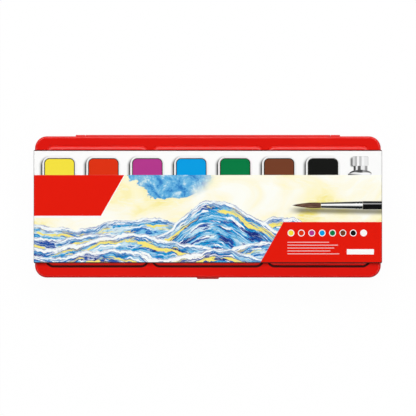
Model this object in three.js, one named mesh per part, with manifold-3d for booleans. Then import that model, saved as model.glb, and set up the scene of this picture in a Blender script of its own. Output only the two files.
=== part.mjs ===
// A gouache paint set in a hinged tin. The lid doubles as a palette with three pressed wells, and a printed
// card sleeve slides over the closed tin. A white tray inside carries the pans of gouache, a tube of white
// and a brush. Lengths are in millimetres: X runs along the tin, Y from its front edge to its hinge, and Z up
// from the underside of the sleeve.
import * as THREE from "three";
import { mergeVertices } from "three/addons/utils/BufferGeometryUtils.js";
import Module from "manifold-3d";

const wasm = await Module();
wasm.setup();

// Driving dimensions of the tin
const TIN_LENGTH = 230;
const TIN_WIDTH = 94;
const TIN_CORNER = 8;
const SHEET = 0.35;
const BASE_WALL_HEIGHT = 11;
const PARTING_GAP = 0.4;
const LID_SKIRT_HEIGHT = 7.6;
const NECK_HEIGHT = 2.6;
const NECK_CLEARANCE = 0.35;
const RIM_HEM_DEPTH = 1.2;
const EDGE_RADIUS = 1.5;
const FOOT_RIM = 5;
const FLOOR_RISE = 0.5;

// Palette wells pressed outwards in the lid
const WELL_HEIGHT = 1;
const WELL_SLOPE = 2.2;
const WELL_CORNER = 5;
const WELL_BORDER = 6.9;
const WELL_END_BORDER = 7.6;
const WELL_GAP = 3.3;
const WELL_WIDTH_SHARES = [0.324, 0.352, 0.324];

// Hinge at the back and thumb lip at the front
const HINGE_LENGTH = 176;
const HINGE_END_KNUCKLE = 6.2;
const HINGE_OFFSET = 0.25;
const PIN_RADIUS = 0.35;
const PIN_CLEARANCE = 0.05;
const KNUCKLE_GAP = 0.3;
const HINGE_RECESS_ROOM = 0.4;
const LIP_LENGTH = 15.5;
const LIP_TAPER = 0.8;
const LIP_THICKNESS = 0.7;

// Card sleeve
const CARD = 0.5;
const SLEEVE_SLIP = 0.3;
const SLEEVE_WIDTH = 74.1;
const SLEEVE_SET_BACK = 0.4;
const SLEEVE_FOLD_RADIUS = 0.9;
const SLEEVE_SLIT = 0.3;

// Tray
const TRAY_WALL = 0.8;
const TRAY_FIT = 0.3;
const TRAY_DEPTH_BELOW_RIM = 1.2;
const TRAY_EDGE_RADIUS = 0.6;
const TRAY_MARGIN = 3.5;
const TRAY_BACK_MARGIN = 11.35;
const POCKET_FIT = 0.3;

// Pans and their gouache
const COLOURS = [
  ["yellow", 0xf5e240],
  ["orange_red", 0xdd300c],
  ["magenta", 0xb3388c],
  ["blue", 0x009de2],
  ["green", 0x007941],
  ["brown", 0x733e27],
  ["black", 0x121311],
];
const PAN_GAP = 7.3;
const PAN_WALL = 1.2;
const PAN_CORNER = 4.8;
const PAN_STAND = 1.2;
const PAN_DRAFT = 0.5;
const PAN_RIM_RADIUS = 0.45;
const CAKE_FIT = 0.25;
const CAKE_RECESS = 1.3;
const CAKE_EDGE = 0.5;

// Tube of white
const TUBE_HEADROOM = 3.1;
const TUBE_FRONT_ROOM = 8.5;
const TUBE_BAY_CORNER = 1;
const TUBE_FOIL = 0.3;
const TUBE_FILL_FIT = 0.3;
const TUBE_SHOULDER = 2.6;
const TUBE_FOLD_LENGTH = 4;
const TUBE_FOLD_THICKNESS = 1.6;
const NECK_RADIUS = 3.4;
const NECK_BORE_RADIUS = 2;
const THREAD_HEIGHT = 0.35;
const THREAD_PITCH = 1.5;
const THREAD_TURNS = 2.5;
const CAP_RADIUS = 5.4;
const CAP_LENGTH = 7;
const CAP_TOP = 1.2;
const CAP_FIT = 0.3;
const CAP_SEAT_GAP = 0.3;
const CAP_FLUTES = 16;
const CAP_FLUTE_DEPTH = 0.35;
const CAP_TURNS = 3;
const CAP_END_ROOM = 0.5;
const LINER_THICKNESS = 0.6;
const LINER_FIT = 0.15;

// Brush
const BRUSH_TIP_ROOM = 5.3;
const BRUSH_TAIL_ROOM = 8.2;
const BRUSH_BAY_EDGE = 15.3;
const HANDLE_RADIUS = 3.3;
const HANDLE_TENON = 8;
const FERRULE_LENGTH = 27.6;
const FERRULE_WALL = 0.25;
const FERRULE_TUFT_RADIUS = 1.95;
const FERRULE_HANDLE_RADIUS = 2.55;
const FERRULE_CRIMP_DEPTH = 0.18;
const FERRULE_CRIMP_PITCH = 2.2;
const BRUSH_FIT = 0.15;
const TUFT_LENGTH = 18.2;
const TUFT_ROOT = 6;
const TUFT_BELLY_RADIUS = 2.1;
const GROOVE_FIT = 1;
const GROOVE_CORNER = 3;
const SCOOP_LENGTH = 30;
const SCOOP_WIDTH = 22;
const SCOOP_CORNER = 8;
const SCOOP_DEPTH = 6.4;

// Counts of facets, and the overrun that carries every cut past the face it opens
const CORNER_STEPS = 5;
const FILLET_STEPS = 3;
const KNUCKLE_SIDES = 16;
const ROUND_SIDES = 24;
const BRUSH_SIDES = 14;
const THREAD_STEPS = 14;
const LEAST_CORNER_SHARE = 0.04;
const OVERRUN = 1;
const QUARTER_TURN = Math.PI / 2;
const FULL_TURN = Math.PI * 2;

// Heights above the tin's own underside
const tinBottom = CARD + SLEEVE_SLIP;
const lidEdge = BASE_WALL_HEIGHT + PARTING_GAP;
const lidTop = lidEdge + LID_SKIRT_HEIGHT;
const tinTop = lidTop + WELL_HEIGHT;
const rimTop = BASE_WALL_HEIGHT + NECK_HEIGHT;
const deckTop = rimTop - TRAY_DEPTH_BELOW_RIM;

// Places that more than one piece shares
const neckInset = SHEET + NECK_CLEARANCE;
const rimInset = neckInset + 2 * SHEET;
const trayInset = rimInset + TRAY_FIT;
const trayLength = TIN_LENGTH - 2 * trayInset;
const trayWidth = TIN_WIDTH - 2 * trayInset;
const knuckleRadius = PIN_RADIUS + PIN_CLEARANCE + SHEET;
const hingeY = TIN_WIDTH / 2 + HINGE_OFFSET;
const hingeZ = BASE_WALL_HEIGHT + PARTING_GAP / 2;
const lidKnuckleLength = HINGE_LENGTH - 2 * (HINGE_END_KNUCKLE + KNUCKLE_GAP);
const lipReach = HINGE_OFFSET + knuckleRadius;

// The tube fills the height from its pocket's floor to the headroom under the lid
const trayFoot = SHEET + FLOOR_RISE + TRAY_FIT;
const pocketFloor = trayFoot + TRAY_WALL;
const tubeFloor = pocketFloor + POCKET_FIT;
const tubeRadius = (lidTop - SHEET - TUBE_HEADROOM - tubeFloor) / 2;
const tubeFoldWidth = (Math.PI * tubeRadius * 2) / 2;
const tubeZ = tubeFloor + tubeRadius;
const tubeBayWidth = tubeFoldWidth + 2 * POCKET_FIT;
const tubeX = trayLength / 2 - 2 * TRAY_WALL - tubeBayWidth / 2;

// The brush lies along the front, and its bay sets how far the pans reach
const brushTipX = -trayLength / 2 + BRUSH_TIP_ROOM;
const brushLength = tubeX - tubeBayWidth / 2 - BRUSH_TAIL_ROOM - brushTipX;
const brushY = -trayWidth / 2 + BRUSH_BAY_EDGE;
const brushZ = deckTop + PAN_STAND - HANDLE_RADIUS;
const grooveWidth = 2 * (HANDLE_RADIUS + GROOVE_FIT);
const bayBack = trayWidth / 2 - TRAY_BACK_MARGIN;
const tubeBayFront = -trayWidth / 2 + TUBE_FRONT_ROOM;
const tubeBayBack = bayBack + CAP_TURNS * THREAD_PITCH + CAP_END_ROOM;
const tubeBayLength = tubeBayBack - tubeBayFront;
const tubeLength = bayBack - tubeBayFront - 2 * POCKET_FIT;
const panFront = brushY + SCOOP_WIDTH / 2 + TRAY_MARGIN;
const panLength = bayBack - panFront - 2 * POCKET_FIT;
const panY = (bayBack + panFront) / 2;
const panRowStart = -trayLength / 2 + TRAY_MARGIN + POCKET_FIT;
const panRowEnd = tubeX - tubeBayWidth / 2 - TRAY_WALL - POCKET_FIT;
const panWidth = (panRowEnd - panRowStart - (COLOURS.length - 1) * PAN_GAP) / COLOURS.length;
const panBottom = pocketFloor + POCKET_FIT;
const panTop = deckTop + PAN_STAND;

// Finishes
const redLacquer = new THREE.MeshStandardMaterial({ color: 0xe01a10, roughness: 0.3, metalness: 0.1 });
const whitePlastic = new THREE.MeshStandardMaterial({ color: 0xf4f4f2, roughness: 0.45, metalness: 0 });
const wireSteel = new THREE.MeshStandardMaterial({ color: 0xb8b8ba, roughness: 0.35, metalness: 1 });
const foilWhite = new THREE.MeshStandardMaterial({ color: 0xe9eaec, roughness: 0.35, metalness: 0.6 });
const nickel = new THREE.MeshStandardMaterial({ color: 0xd4d4d6, roughness: 0.2, metalness: 1 });
const blackLacquer = new THREE.MeshStandardMaterial({ color: 0x0b0b0c, roughness: 0.15, metalness: 0 });
const brownHair = new THREE.MeshStandardMaterial({ color: 0x5c4038, roughness: 0.7, metalness: 0 });
const printedCard = new THREE.MeshStandardMaterial({ color: 0xfaf8ee, roughness: 0.5, metalness: 0 });
const whitePaint = new THREE.MeshStandardMaterial({ color: 0xfcfcfa, roughness: 0.6, metalness: 0 });
const gouache = (color) => new THREE.MeshStandardMaterial({ color, roughness: 0.85, metalness: 0 });

// Makes a closed three.js geometry a solid that can be joined and cut.
function solidOf(geometry) {
  const bare = new THREE.BufferGeometry();
  bare.setAttribute("position", geometry.getAttribute("position"));
  if (geometry.index) bare.setIndex(geometry.index);
  const merged = mergeVertices(bare);
  const vertProperties = new Float32Array(merged.getAttribute("position").array);
  const triVerts = new Uint32Array(merged.index.array);
  return new wasm.Manifold(new wasm.Mesh({ numProp: 3, vertProperties, triVerts }));
}

// Turns a solid back into a three.js geometry.
function geometryOf(solid) {
  const mesh = solid.getMesh();
  const geometry = new THREE.BufferGeometry();
  geometry.setAttribute("position", new THREE.BufferAttribute(new Float32Array(mesh.vertProperties), 3));
  geometry.setIndex(new THREE.BufferAttribute(new Uint32Array(mesh.triVerts), 1));
  geometry.computeVertexNormals();
  return geometry;
}

// Joins rings of points into one closed geometry, with a cap on the first ring and on the last.
function skinRings(rings) {
  const count = rings[0].length;
  const positions = rings.flat().flatMap((point) => [point.x, point.y, point.z]);
  const faces = [];
  for (let ring = 0; ring + 1 < rings.length; ring++) {
    for (let at = 0; at < count; at++) {
      const next = (at + 1) % count;
      const low = ring * count;
      const high = low + count;
      faces.push(low + at, low + next, high + next, low + at, high + next, high + at);
    }
  }
  const cap = (ring, flip) => {
    const centre = positions.length / 3;
    const sum = rings[ring].reduce((total, point) => total.add(point), new THREE.Vector3());
    const middle = sum.divideScalar(count);
    positions.push(middle.x, middle.y, middle.z);
    for (let at = 0; at < count; at++) {
      const from = ring * count + at;
      const to = ring * count + ((at + 1) % count);
      faces.push(centre, flip ? to : from, flip ? from : to);
    }
  };
  cap(0, true);
  cap(rings.length - 1, false);
  const geometry = new THREE.BufferGeometry();
  geometry.setAttribute("position", new THREE.Float32BufferAttribute(positions, 3));
  geometry.setIndex(faces);
  return geometry;
}

// A rounded rectangle, anticlockwise from above, with as many points at every size.
function roundedRing({ length, width, radius, x = 0, y = 0 }, inset, z) {
  const corner = Math.max(radius - inset, radius * LEAST_CORNER_SHARE);
  const reachX = length / 2 - inset - corner;
  const reachY = width / 2 - inset - corner;
  const sides = [[1, 1], [-1, 1], [-1, -1], [1, -1]];
  return sides.flatMap(([sideX, sideY], side) =>
    Array.from({ length: CORNER_STEPS + 1 }, (_, step) => {
      const angle = (side + step / CORNER_STEPS) * QUARTER_TURN;
      const across = x + sideX * reachX + corner * Math.cos(angle);
      const along = y + sideY * reachY + corner * Math.sin(angle);
      return new THREE.Vector3(across, along, z);
    }),
  );
}

// A solid whose side follows a profile of [inset, height] pairs round a rounded rectangle.
function pressed(outline, profile) {
  return solidOf(skinRings(profile.map(([inset, z]) => roundedRing(outline, inset, z))));
}

// A quarter-round from one [inset, height] pair to another about a centre.
function quarterRound(centreInset, centreZ, radius, startAngle, endAngle) {
  return Array.from({ length: FILLET_STEPS + 1 }, (_, step) => {
    const angle = startAngle + ((endAngle - startAngle) * step) / FILLET_STEPS;
    return [centreInset + radius * Math.cos(angle), centreZ + radius * Math.sin(angle)];
  });
}

function block(x0, x1, y0, y1, z0, z1) {
  const geometry = new THREE.BoxGeometry(x1 - x0, y1 - y0, z1 - z0);
  return solidOf(geometry.translate((x0 + x1) / 2, (y0 + y1) / 2, (z0 + z1) / 2));
}

// A round rod along X on the hinge's axis.
function hingeRod(radius, x0, x1, sides = KNUCKLE_SIDES) {
  const geometry = new THREE.CylinderGeometry(radius, radius, x1 - x0, sides).rotateZ(QUARTER_TURN);
  return solidOf(geometry.translate((x0 + x1) / 2, hingeY, hingeZ));
}

// A turned solid about the Y axis from [radius, height] pairs that start and end on the axis.
function turned(profile, sides) {
  const points = profile.map(([radius, height]) => new THREE.Vector2(radius, height));
  return solidOf(new THREE.LatheGeometry(points, sides));
}

function piece(name, solid, material) {
  const mesh = new THREE.Mesh(geometryOf(solid), material);
  mesh.name = name;
  return mesh;
}

const tinOutline = { length: TIN_LENGTH, width: TIN_WIDTH, radius: TIN_CORNER };

// The end knuckles belong to the base, one at each end of the hinge.
const endKnuckles = [-1, 1].map((side) => {
  const outer = (side * HINGE_LENGTH) / 2;
  const inner = side * (HINGE_LENGTH / 2 - HINGE_END_KNUCKLE);
  return [Math.min(outer, inner), Math.max(outer, inner)];
});

// The base: a drawn tray of tinplate with a neck for the lid, a hemmed rim and a raised floor.
function tinBase() {
  const innerEdge = EDGE_RADIUS - SHEET;
  const base = pressed(tinOutline, [
    ...quarterRound(EDGE_RADIUS, EDGE_RADIUS, EDGE_RADIUS, -QUARTER_TURN, -2 * QUARTER_TURN),
    [0, BASE_WALL_HEIGHT],
    [neckInset, BASE_WALL_HEIGHT],
    [neckInset, rimTop],
    [rimInset, rimTop],
    [rimInset, rimTop - RIM_HEM_DEPTH],
    [neckInset + SHEET, rimTop - RIM_HEM_DEPTH],
    [neckInset + SHEET, BASE_WALL_HEIGHT - SHEET],
    [SHEET, BASE_WALL_HEIGHT - SHEET],
    ...quarterRound(EDGE_RADIUS, EDGE_RADIUS, innerEdge, -2 * QUARTER_TURN, -QUARTER_TURN),
  ]);
  const floorPanel = {
    length: TIN_LENGTH - 2 * FOOT_RIM,
    width: TIN_WIDTH - 2 * FOOT_RIM,
    radius: TIN_CORNER,
  };
  const raised = pressed(floorPanel, [[0, SHEET / 2], [FLOOR_RISE, FLOOR_RISE + SHEET]]);
  const hollow = pressed(floorPanel, [
    [SHEET - FLOOR_RISE, -FLOOR_RISE],
    [SHEET + FLOOR_RISE, FLOOR_RISE],
  ]);
  const halfKnuckle = lidKnuckleLength / 2 + KNUCKLE_GAP;
  const wallY = TIN_WIDTH / 2;
  const neckY = wallY - neckInset;
  const housingX = halfKnuckle + SHEET;
  const recessFloor = hingeZ - knuckleRadius - HINGE_RECESS_ROOM;
  const housing = block(-housingX, housingX, neckY - SHEET, wallY, recessFloor - SHEET, BASE_WALL_HEIGHT);
  const recess = block(-halfKnuckle, halfKnuckle, neckY, wallY + OVERRUN, recessFloor, lidEdge);
  let solid = base.add(raised).subtract(hollow).add(housing).subtract(recess);
  for (const [from, to] of endKnuckles) {
    const bore = hingeRod(PIN_RADIUS + PIN_CLEARANCE, from - OVERRUN, to + OVERRUN);
    solid = solid.add(hingeRod(knuckleRadius, from, to)).subtract(bore);
  }
  return solid;
}

// The wire that the knuckles turn on.
function hingePin() {
  return hingeRod(PIN_RADIUS, -HINGE_LENGTH / 2, HINGE_LENGTH / 2);
}

// The outlines of the palette wells where they rise from the lid.
function wellOutlines() {
  const room = TIN_LENGTH - 2 * WELL_END_BORDER - (WELL_WIDTH_SHARES.length - 1) * WELL_GAP;
  let from = -TIN_LENGTH / 2 + WELL_END_BORDER;
  return WELL_WIDTH_SHARES.map((share) => {
    const length = room * share;
    const outline = { length, width: TIN_WIDTH - 2 * WELL_BORDER, radius: WELL_CORNER, x: from + length / 2 };
    from += length + WELL_GAP;
    return outline;
  });
}

// The lid: a skirt that slips over the neck, three pressed wells, the middle knuckle and the thumb lip.
function tinLid() {
  const innerEdge = EDGE_RADIUS - SHEET;
  const edgeZ = lidTop - EDGE_RADIUS;
  let lid = pressed(tinOutline, [
    ...quarterRound(EDGE_RADIUS, edgeZ, innerEdge, QUARTER_TURN, 2 * QUARTER_TURN),
    [SHEET, lidEdge],
    [0, lidEdge],
    ...quarterRound(EDGE_RADIUS, edgeZ, EDGE_RADIUS, 2 * QUARTER_TURN, QUARTER_TURN),
  ]);
  for (const outline of wellOutlines()) {
    const raised = [[0, lidTop - SHEET / 2], [0, lidTop], [WELL_SLOPE, lidTop + WELL_HEIGHT]];
    const hollow = [
      [SHEET, lidTop - SHEET - OVERRUN],
      [SHEET, lidTop - SHEET],
      [WELL_SLOPE + SHEET / 2, lidTop + WELL_HEIGHT - SHEET],
    ];
    lid = lid.add(pressed(outline, raised)).subtract(pressed(outline, hollow));
  }
  const halfKnuckle = lidKnuckleLength / 2;
  lid = lid.add(hingeRod(knuckleRadius, -halfKnuckle, halfKnuckle));
  lid = lid.subtract(hingeRod(PIN_RADIUS + PIN_CLEARANCE, -HINGE_LENGTH / 2, HINGE_LENGTH / 2));
  for (const [from, to] of endKnuckles) {
    const notch = hingeRod(knuckleRadius + KNUCKLE_GAP / 2, from - KNUCKLE_GAP, to + KNUCKLE_GAP);
    lid = lid.subtract(notch);
  }
  const front = -TIN_WIDTH / 2;
  const lip = new THREE.Shape([
    new THREE.Vector2(-LIP_LENGTH / 2, front + SHEET / 2),
    new THREE.Vector2(-LIP_LENGTH / 2, front),
    new THREE.Vector2(-LIP_LENGTH / 2 + LIP_TAPER, front - lipReach),
    new THREE.Vector2(LIP_LENGTH / 2 - LIP_TAPER, front - lipReach),
    new THREE.Vector2(LIP_LENGTH / 2, front),
    new THREE.Vector2(LIP_LENGTH / 2, front + SHEET / 2),
  ]);
  const lipSolid = new THREE.ExtrudeGeometry(lip, { depth: LIP_THICKNESS, bevelEnabled: false });
  return lid.add(solidOf(lipSolid.translate(0, 0, lidEdge)));
}

// One pocket of the tray: the solid that hangs below the deck, and the room cut out of it.
function pocket(outline, floorZ, draft) {
  const outer = { ...outline, radius: outline.radius + TRAY_WALL };
  outer.length += 2 * TRAY_WALL;
  outer.width += 2 * TRAY_WALL;
  return {
    hung: pressed(outer, [[draft, floorZ - TRAY_WALL], [0, deckTop - TRAY_WALL / 2]]),
    room: pressed(outline, [[draft, floorZ], [0, deckTop], [0, deckTop + OVERRUN]]),
  };
}

const panCentres = COLOURS.map((_, at) => panRowStart + panWidth / 2 + at * (panWidth + PAN_GAP));

// The tray: a formed white plastic insert with a pocket for each pan, the tube and the brush.
function tray() {
  const outline = { length: trayLength, width: trayWidth, radius: TIN_CORNER - trayInset };
  const edgeZ = deckTop - TRAY_EDGE_RADIUS;
  const deck = pressed(outline, [
    [TRAY_WALL, deckTop - TRAY_WALL],
    [TRAY_WALL, trayFoot],
    [0, trayFoot],
    ...quarterRound(TRAY_EDGE_RADIUS, edgeZ, TRAY_EDGE_RADIUS, 2 * QUARTER_TURN, QUARTER_TURN),
  ]);
  const panPocket = (x) => ({
    length: panWidth + 2 * POCKET_FIT,
    width: panLength + 2 * POCKET_FIT,
    radius: PAN_CORNER + POCKET_FIT,
    x,
    y: panY,
  });
  const tubeBay = {
    length: tubeBayWidth,
    width: tubeBayLength,
    radius: TUBE_BAY_CORNER,
    x: tubeX,
    y: tubeBayFront + tubeBayLength / 2,
  };
  const groove = {
    length: brushLength + 2 * GROOVE_FIT,
    width: grooveWidth,
    radius: GROOVE_CORNER,
    x: brushTipX + brushLength / 2,
    y: brushY,
  };
  const scoop = { length: SCOOP_LENGTH, width: SCOOP_WIDTH, radius: SCOOP_CORNER, y: brushY };
  const pockets = [
    ...panCentres.map((x) => pocket(panPocket(x), pocketFloor, PAN_DRAFT)),
    pocket(tubeBay, pocketFloor, 0),
    pocket(groove, brushZ - HANDLE_RADIUS - POCKET_FIT, 0),
    pocket(scoop, deckTop - SCOOP_DEPTH, PAN_DRAFT),
  ];
  const hung = pockets.reduce((solid, { hung }) => solid.add(hung), deck);
  return pockets.reduce((solid, { room }) => solid.subtract(room), hung);
}

const panOutline = (x) => ({ length: panWidth, width: panLength, radius: PAN_CORNER, x, y: panY });

// A pan: a moulded cup with a rounded rim.
function pan(x) {
  const rimZ = panTop - PAN_RIM_RADIUS;
  const innerRim = PAN_WALL - PAN_RIM_RADIUS;
  return pressed(panOutline(x), [
    [PAN_DRAFT, panBottom],
    ...quarterRound(PAN_RIM_RADIUS, rimZ, PAN_RIM_RADIUS, 2 * QUARTER_TURN, QUARTER_TURN),
    ...quarterRound(innerRim, rimZ, PAN_RIM_RADIUS, QUARTER_TURN, 0),
    [PAN_WALL + PAN_DRAFT, panBottom + PAN_WALL],
  ]);
}

// The gouache cast in a pan, with a softened top edge.
function cake(x) {
  const inset = PAN_WALL + CAKE_FIT;
  const top = panTop - CAKE_RECESS;
  return pressed(panOutline(x), [
    [inset + PAN_DRAFT, panBottom + PAN_WALL + CAKE_FIT],
    [inset, top - CAKE_EDGE],
    [inset + CAKE_EDGE / 2, top - CAKE_EDGE / 4],
    [inset + CAKE_EDGE, top],
  ]);
}

// The tube lies along Y with its fold to the front. Heights below run from the fold to the cap.
const capFront = tubeLength - CAP_LENGTH;
const capCeiling = tubeLength - CAP_TOP;
const capBore = NECK_RADIUS + THREAD_HEIGHT + CAP_FIT;
const neckFoot = capFront - CAP_SEAT_GAP;
const shoulderFoot = neckFoot - TUBE_SHOULDER;
const neckTop = capCeiling - LINER_THICKNESS - 2 * LINER_FIT;
const fullRound = shoulderFoot - TUBE_FOLD_LENGTH;

// Flattens from a round section to the fold while the girth stays the same.
function tubeSection(along, inset) {
  const share = THREE.MathUtils.clamp((along - TUBE_FOLD_LENGTH) / (fullRound - TUBE_FOLD_LENGTH), 0, 1);
  const swell = Math.sin(share * QUARTER_TURN);
  const halfHeight = THREE.MathUtils.lerp(TUBE_FOLD_THICKNESS / 2, tubeRadius, swell) - inset;
  const halfWidth = THREE.MathUtils.lerp(tubeFoldWidth / 2, tubeRadius, swell) - inset;
  return Array.from({ length: ROUND_SIDES }, (_, at) => {
    const angle = (at / ROUND_SIDES) * FULL_TURN;
    return new THREE.Vector3(halfWidth * Math.cos(angle), along, -halfHeight * Math.sin(angle));
  });
}

function roundSection(along, radius) {
  return Array.from({ length: ROUND_SIDES }, (_, at) => {
    const angle = (at / ROUND_SIDES) * FULL_TURN;
    return new THREE.Vector3(radius * Math.cos(angle), along, -radius * Math.sin(angle));
  });
}

const stationShares = [0, 0.12, 0.3, 0.55, 0.8, 1];
const tubeStations = stationShares.map((share) => THREE.MathUtils.lerp(TUBE_FOLD_LENGTH, fullRound, share));

// The ridge of the neck's thread: a three-sided section swept up a helix.
function threadRidge() {
  const steps = Math.round(THREAD_TURNS * THREAD_STEPS);
  const root = NECK_RADIUS - THREAD_HEIGHT / 2;
  const start = neckTop - THREAD_PITCH / 2 - THREAD_TURNS * THREAD_PITCH;
  const rings = Array.from({ length: steps + 1 }, (_, step) => {
    const angle = (step / THREAD_STEPS) * FULL_TURN;
    const along = start + (step / THREAD_STEPS) * THREAD_PITCH;
    const at = (radius, rise) =>
      new THREE.Vector3(radius * Math.sin(angle), along + rise, radius * Math.cos(angle));
    return [
      at(root, THREAD_PITCH / 4),
      at(NECK_RADIUS + THREAD_HEIGHT, 0),
      at(root, -THREAD_PITCH / 4),
    ];
  });
  return solidOf(skinRings(rings));
}

// The tube: a foil body folded shut at one end, with a shoulder and a threaded neck at the other.
function tubeBody() {
  const outer = [
    tubeSection(0, 0),
    ...tubeStations.map((along) => tubeSection(along, 0)),
    roundSection(shoulderFoot, tubeRadius),
    roundSection(neckFoot, NECK_RADIUS),
    roundSection(neckTop, NECK_RADIUS),
    roundSection(neckTop, NECK_BORE_RADIUS),
    roundSection(neckFoot, NECK_BORE_RADIUS),
    roundSection(shoulderFoot - TUBE_FOIL, tubeRadius - TUBE_FOIL),
    ...tubeStations.toReversed().map((along) => tubeSection(along + TUBE_FOIL, TUBE_FOIL)),
  ];
  const fold = block(
    -tubeFoldWidth / 2,
    tubeFoldWidth / 2,
    0,
    TUBE_FOLD_LENGTH,
    -TUBE_FOLD_THICKNESS / 2,
    TUBE_FOLD_THICKNESS / 2,
  );
  return solidOf(skinRings(outer)).add(fold).add(threadRidge());
}

// The white gouache that fills the tube.
function tubePaint() {
  const inset = TUBE_FOIL + TUBE_FILL_FIT;
  const rings = tubeStations.slice(1).map((along) => tubeSection(along, inset));
  rings.push(roundSection(shoulderFoot - inset, tubeRadius - inset));
  return solidOf(skinRings(rings));
}

// The screw cap, fluted for grip.
function tubeCap() {
  const count = CAP_FLUTES * 2;
  const flutes = Array.from({ length: count }, (_, at) => {
    const radius = CAP_RADIUS - (at % 2) * CAP_FLUTE_DEPTH;
    const angle = (at / count) * FULL_TURN;
    return new THREE.Vector2(radius * Math.cos(angle), radius * Math.sin(angle));
  });
  const section = new THREE.Shape(flutes);
  const outside = new THREE.ExtrudeGeometry(section, { depth: CAP_LENGTH, bevelEnabled: false });
  const body = solidOf(outside.rotateX(-QUARTER_TURN).translate(0, capFront, 0));
  const bore = turned(
    [[0, capFront - OVERRUN], [capBore, capFront - OVERRUN], [capBore, capCeiling], [0, capCeiling]],
    ROUND_SIDES,
  );
  return body.subtract(bore);
}

// The soft disc in the cap that seals the neck.
function capLiner() {
  const top = capCeiling - LINER_FIT;
  const bottom = top - LINER_THICKNESS;
  const radius = capBore - LINER_FIT;
  return turned([[0, bottom], [radius, bottom], [radius, top], [0, top]], ROUND_SIDES);
}

// The brush lies along X with its tip to the left. Distances below run from the tip.
const ferruleStart = TUFT_LENGTH;
const ferruleEnd = ferruleStart + FERRULE_LENGTH;
const handleLength = brushLength - ferruleEnd;

const ferruleRadius = (along) =>
  THREE.MathUtils.mapLinear(along, ferruleStart, ferruleEnd, FERRULE_TUFT_RADIUS, FERRULE_HANDLE_RADIUS);

// The lacquered handle with the tenon that the ferrule is crimped on.
function brushHandle() {
  const tenonRadius = ferruleRadius(ferruleEnd - HANDLE_TENON) - FERRULE_WALL - BRUSH_FIT;
  const shoulderShare = FERRULE_HANDLE_RADIUS / HANDLE_RADIUS;
  const swellShares = [
    [0, shoulderShare],
    [0.1, 0.93],
    [0.2, 1],
    [0.35, 0.95],
    [0.6, 0.75],
    [0.85, 0.56],
    [0.96, 0.5],
    [0.99, 0.34],
  ];
  return turned(
    [
      [0, ferruleEnd - HANDLE_TENON],
      [tenonRadius, ferruleEnd - HANDLE_TENON],
      [tenonRadius, ferruleEnd + BRUSH_FIT],
      ...swellShares.map(([lengthShare, radiusShare]) => [
        radiusShare * HANDLE_RADIUS,
        ferruleEnd + BRUSH_FIT + lengthShare * (handleLength - BRUSH_FIT),
      ]),
      [0, brushLength],
    ],
    BRUSH_SIDES,
  );
}

// The ferrule: a tapered tube with two crimped rings where it grips the handle.
function brushFerrule() {
  const crimps = [-1, 1].flatMap((side) => {
    const along = ferruleEnd - HANDLE_TENON / 2 + (side * FERRULE_CRIMP_PITCH) / 2;
    const reach = FERRULE_CRIMP_DEPTH * 2;
    return [
      [ferruleRadius(along - reach), along - reach],
      [ferruleRadius(along) - FERRULE_CRIMP_DEPTH, along],
      [ferruleRadius(along + reach), along + reach],
    ];
  });
  const outside = [[FERRULE_TUFT_RADIUS, ferruleStart], ...crimps, [FERRULE_HANDLE_RADIUS, ferruleEnd]];
  const bore = [
    [FERRULE_HANDLE_RADIUS - FERRULE_WALL, ferruleEnd],
    [FERRULE_TUFT_RADIUS - FERRULE_WALL, ferruleStart],
  ];
  const profile = [...outside, ...bore, outside[0]];
  return turned(profile, BRUSH_SIDES);
}

// The tuft: hair drawn to a point, rooted in the ferrule.
function brushTuft() {
  const rootRadius = FERRULE_TUFT_RADIUS - FERRULE_WALL - BRUSH_FIT;
  const bellyShares = [
    [0.02, 0.05],
    [0.12, 0.2],
    [0.3, 0.52],
    [0.5, 0.83],
    [0.72, 1],
    [0.88, 0.97],
  ];
  return turned(
    [
      [0, 0],
      ...bellyShares.map(([lengthShare, radiusShare]) => [
        radiusShare * TUFT_BELLY_RADIUS,
        lengthShare * ferruleStart,
      ]),
      [rootRadius, ferruleStart - BRUSH_FIT],
      [rootRadius, ferruleStart + TUFT_ROOT],
      [0, ferruleStart + TUFT_ROOT],
    ],
    BRUSH_SIDES,
  );
}

// The sleeve is one loop of card. It is slit along the tin's parting line, so that each half can follow the
// half of the tin that it covers.
function sleeveHalf(side) {
  const loop = (inset) => {
    const length = TIN_LENGTH + 2 * (SLEEVE_SLIP + CARD - inset);
    const height = tinTop + 2 * (SLEEVE_SLIP + CARD - inset);
    const outline = { length, width: height, radius: SLEEVE_FOLD_RADIUS - inset };
    const reach = inset > 0 ? OVERRUN : 0;
    return pressed(outline, [[0, -SLEEVE_WIDTH / 2 - reach], [0, SLEEVE_WIDTH / 2 + reach]]);
  };
  const middle = (tinTop + 2 * (SLEEVE_SLIP + CARD)) / 2;
  const ring = loop(0).subtract(loop(CARD)).rotate([90, 0, 0]).translate([0, SLEEVE_SET_BACK, middle]);
  const slitZ = tinBottom + hingeZ + (side * SLEEVE_SLIT) / 2;
  const farZ = side > 0 ? 2 * middle + OVERRUN : -OVERRUN;
  const reachX = TIN_LENGTH / 2 + SLEEVE_SLIP + CARD + OVERRUN;
  const reachY = SLEEVE_WIDTH / 2 + SLEEVE_SET_BACK + OVERRUN;
  const keep = block(-reachX, reachX, -reachY, reachY, Math.min(slitZ, farZ), Math.max(slitZ, farZ));
  return ring.intersect(keep);
}

const tin = new THREE.Group();
tin.position.z = tinBottom;
tin.add(piece("tin_base", tinBase(), redLacquer));
tin.add(piece("tin_lid", tinLid(), redLacquer));
tin.add(piece("hinge_pin", hingePin(), wireSteel));
tin.add(piece("tray", tray(), whitePlastic));
COLOURS.forEach(([colour, paint], at) => {
  tin.add(piece(`pan_${colour}`, pan(panCentres[at]), whitePlastic));
  tin.add(piece(`paint_${colour}`, cake(panCentres[at]), gouache(paint)));
});

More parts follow.
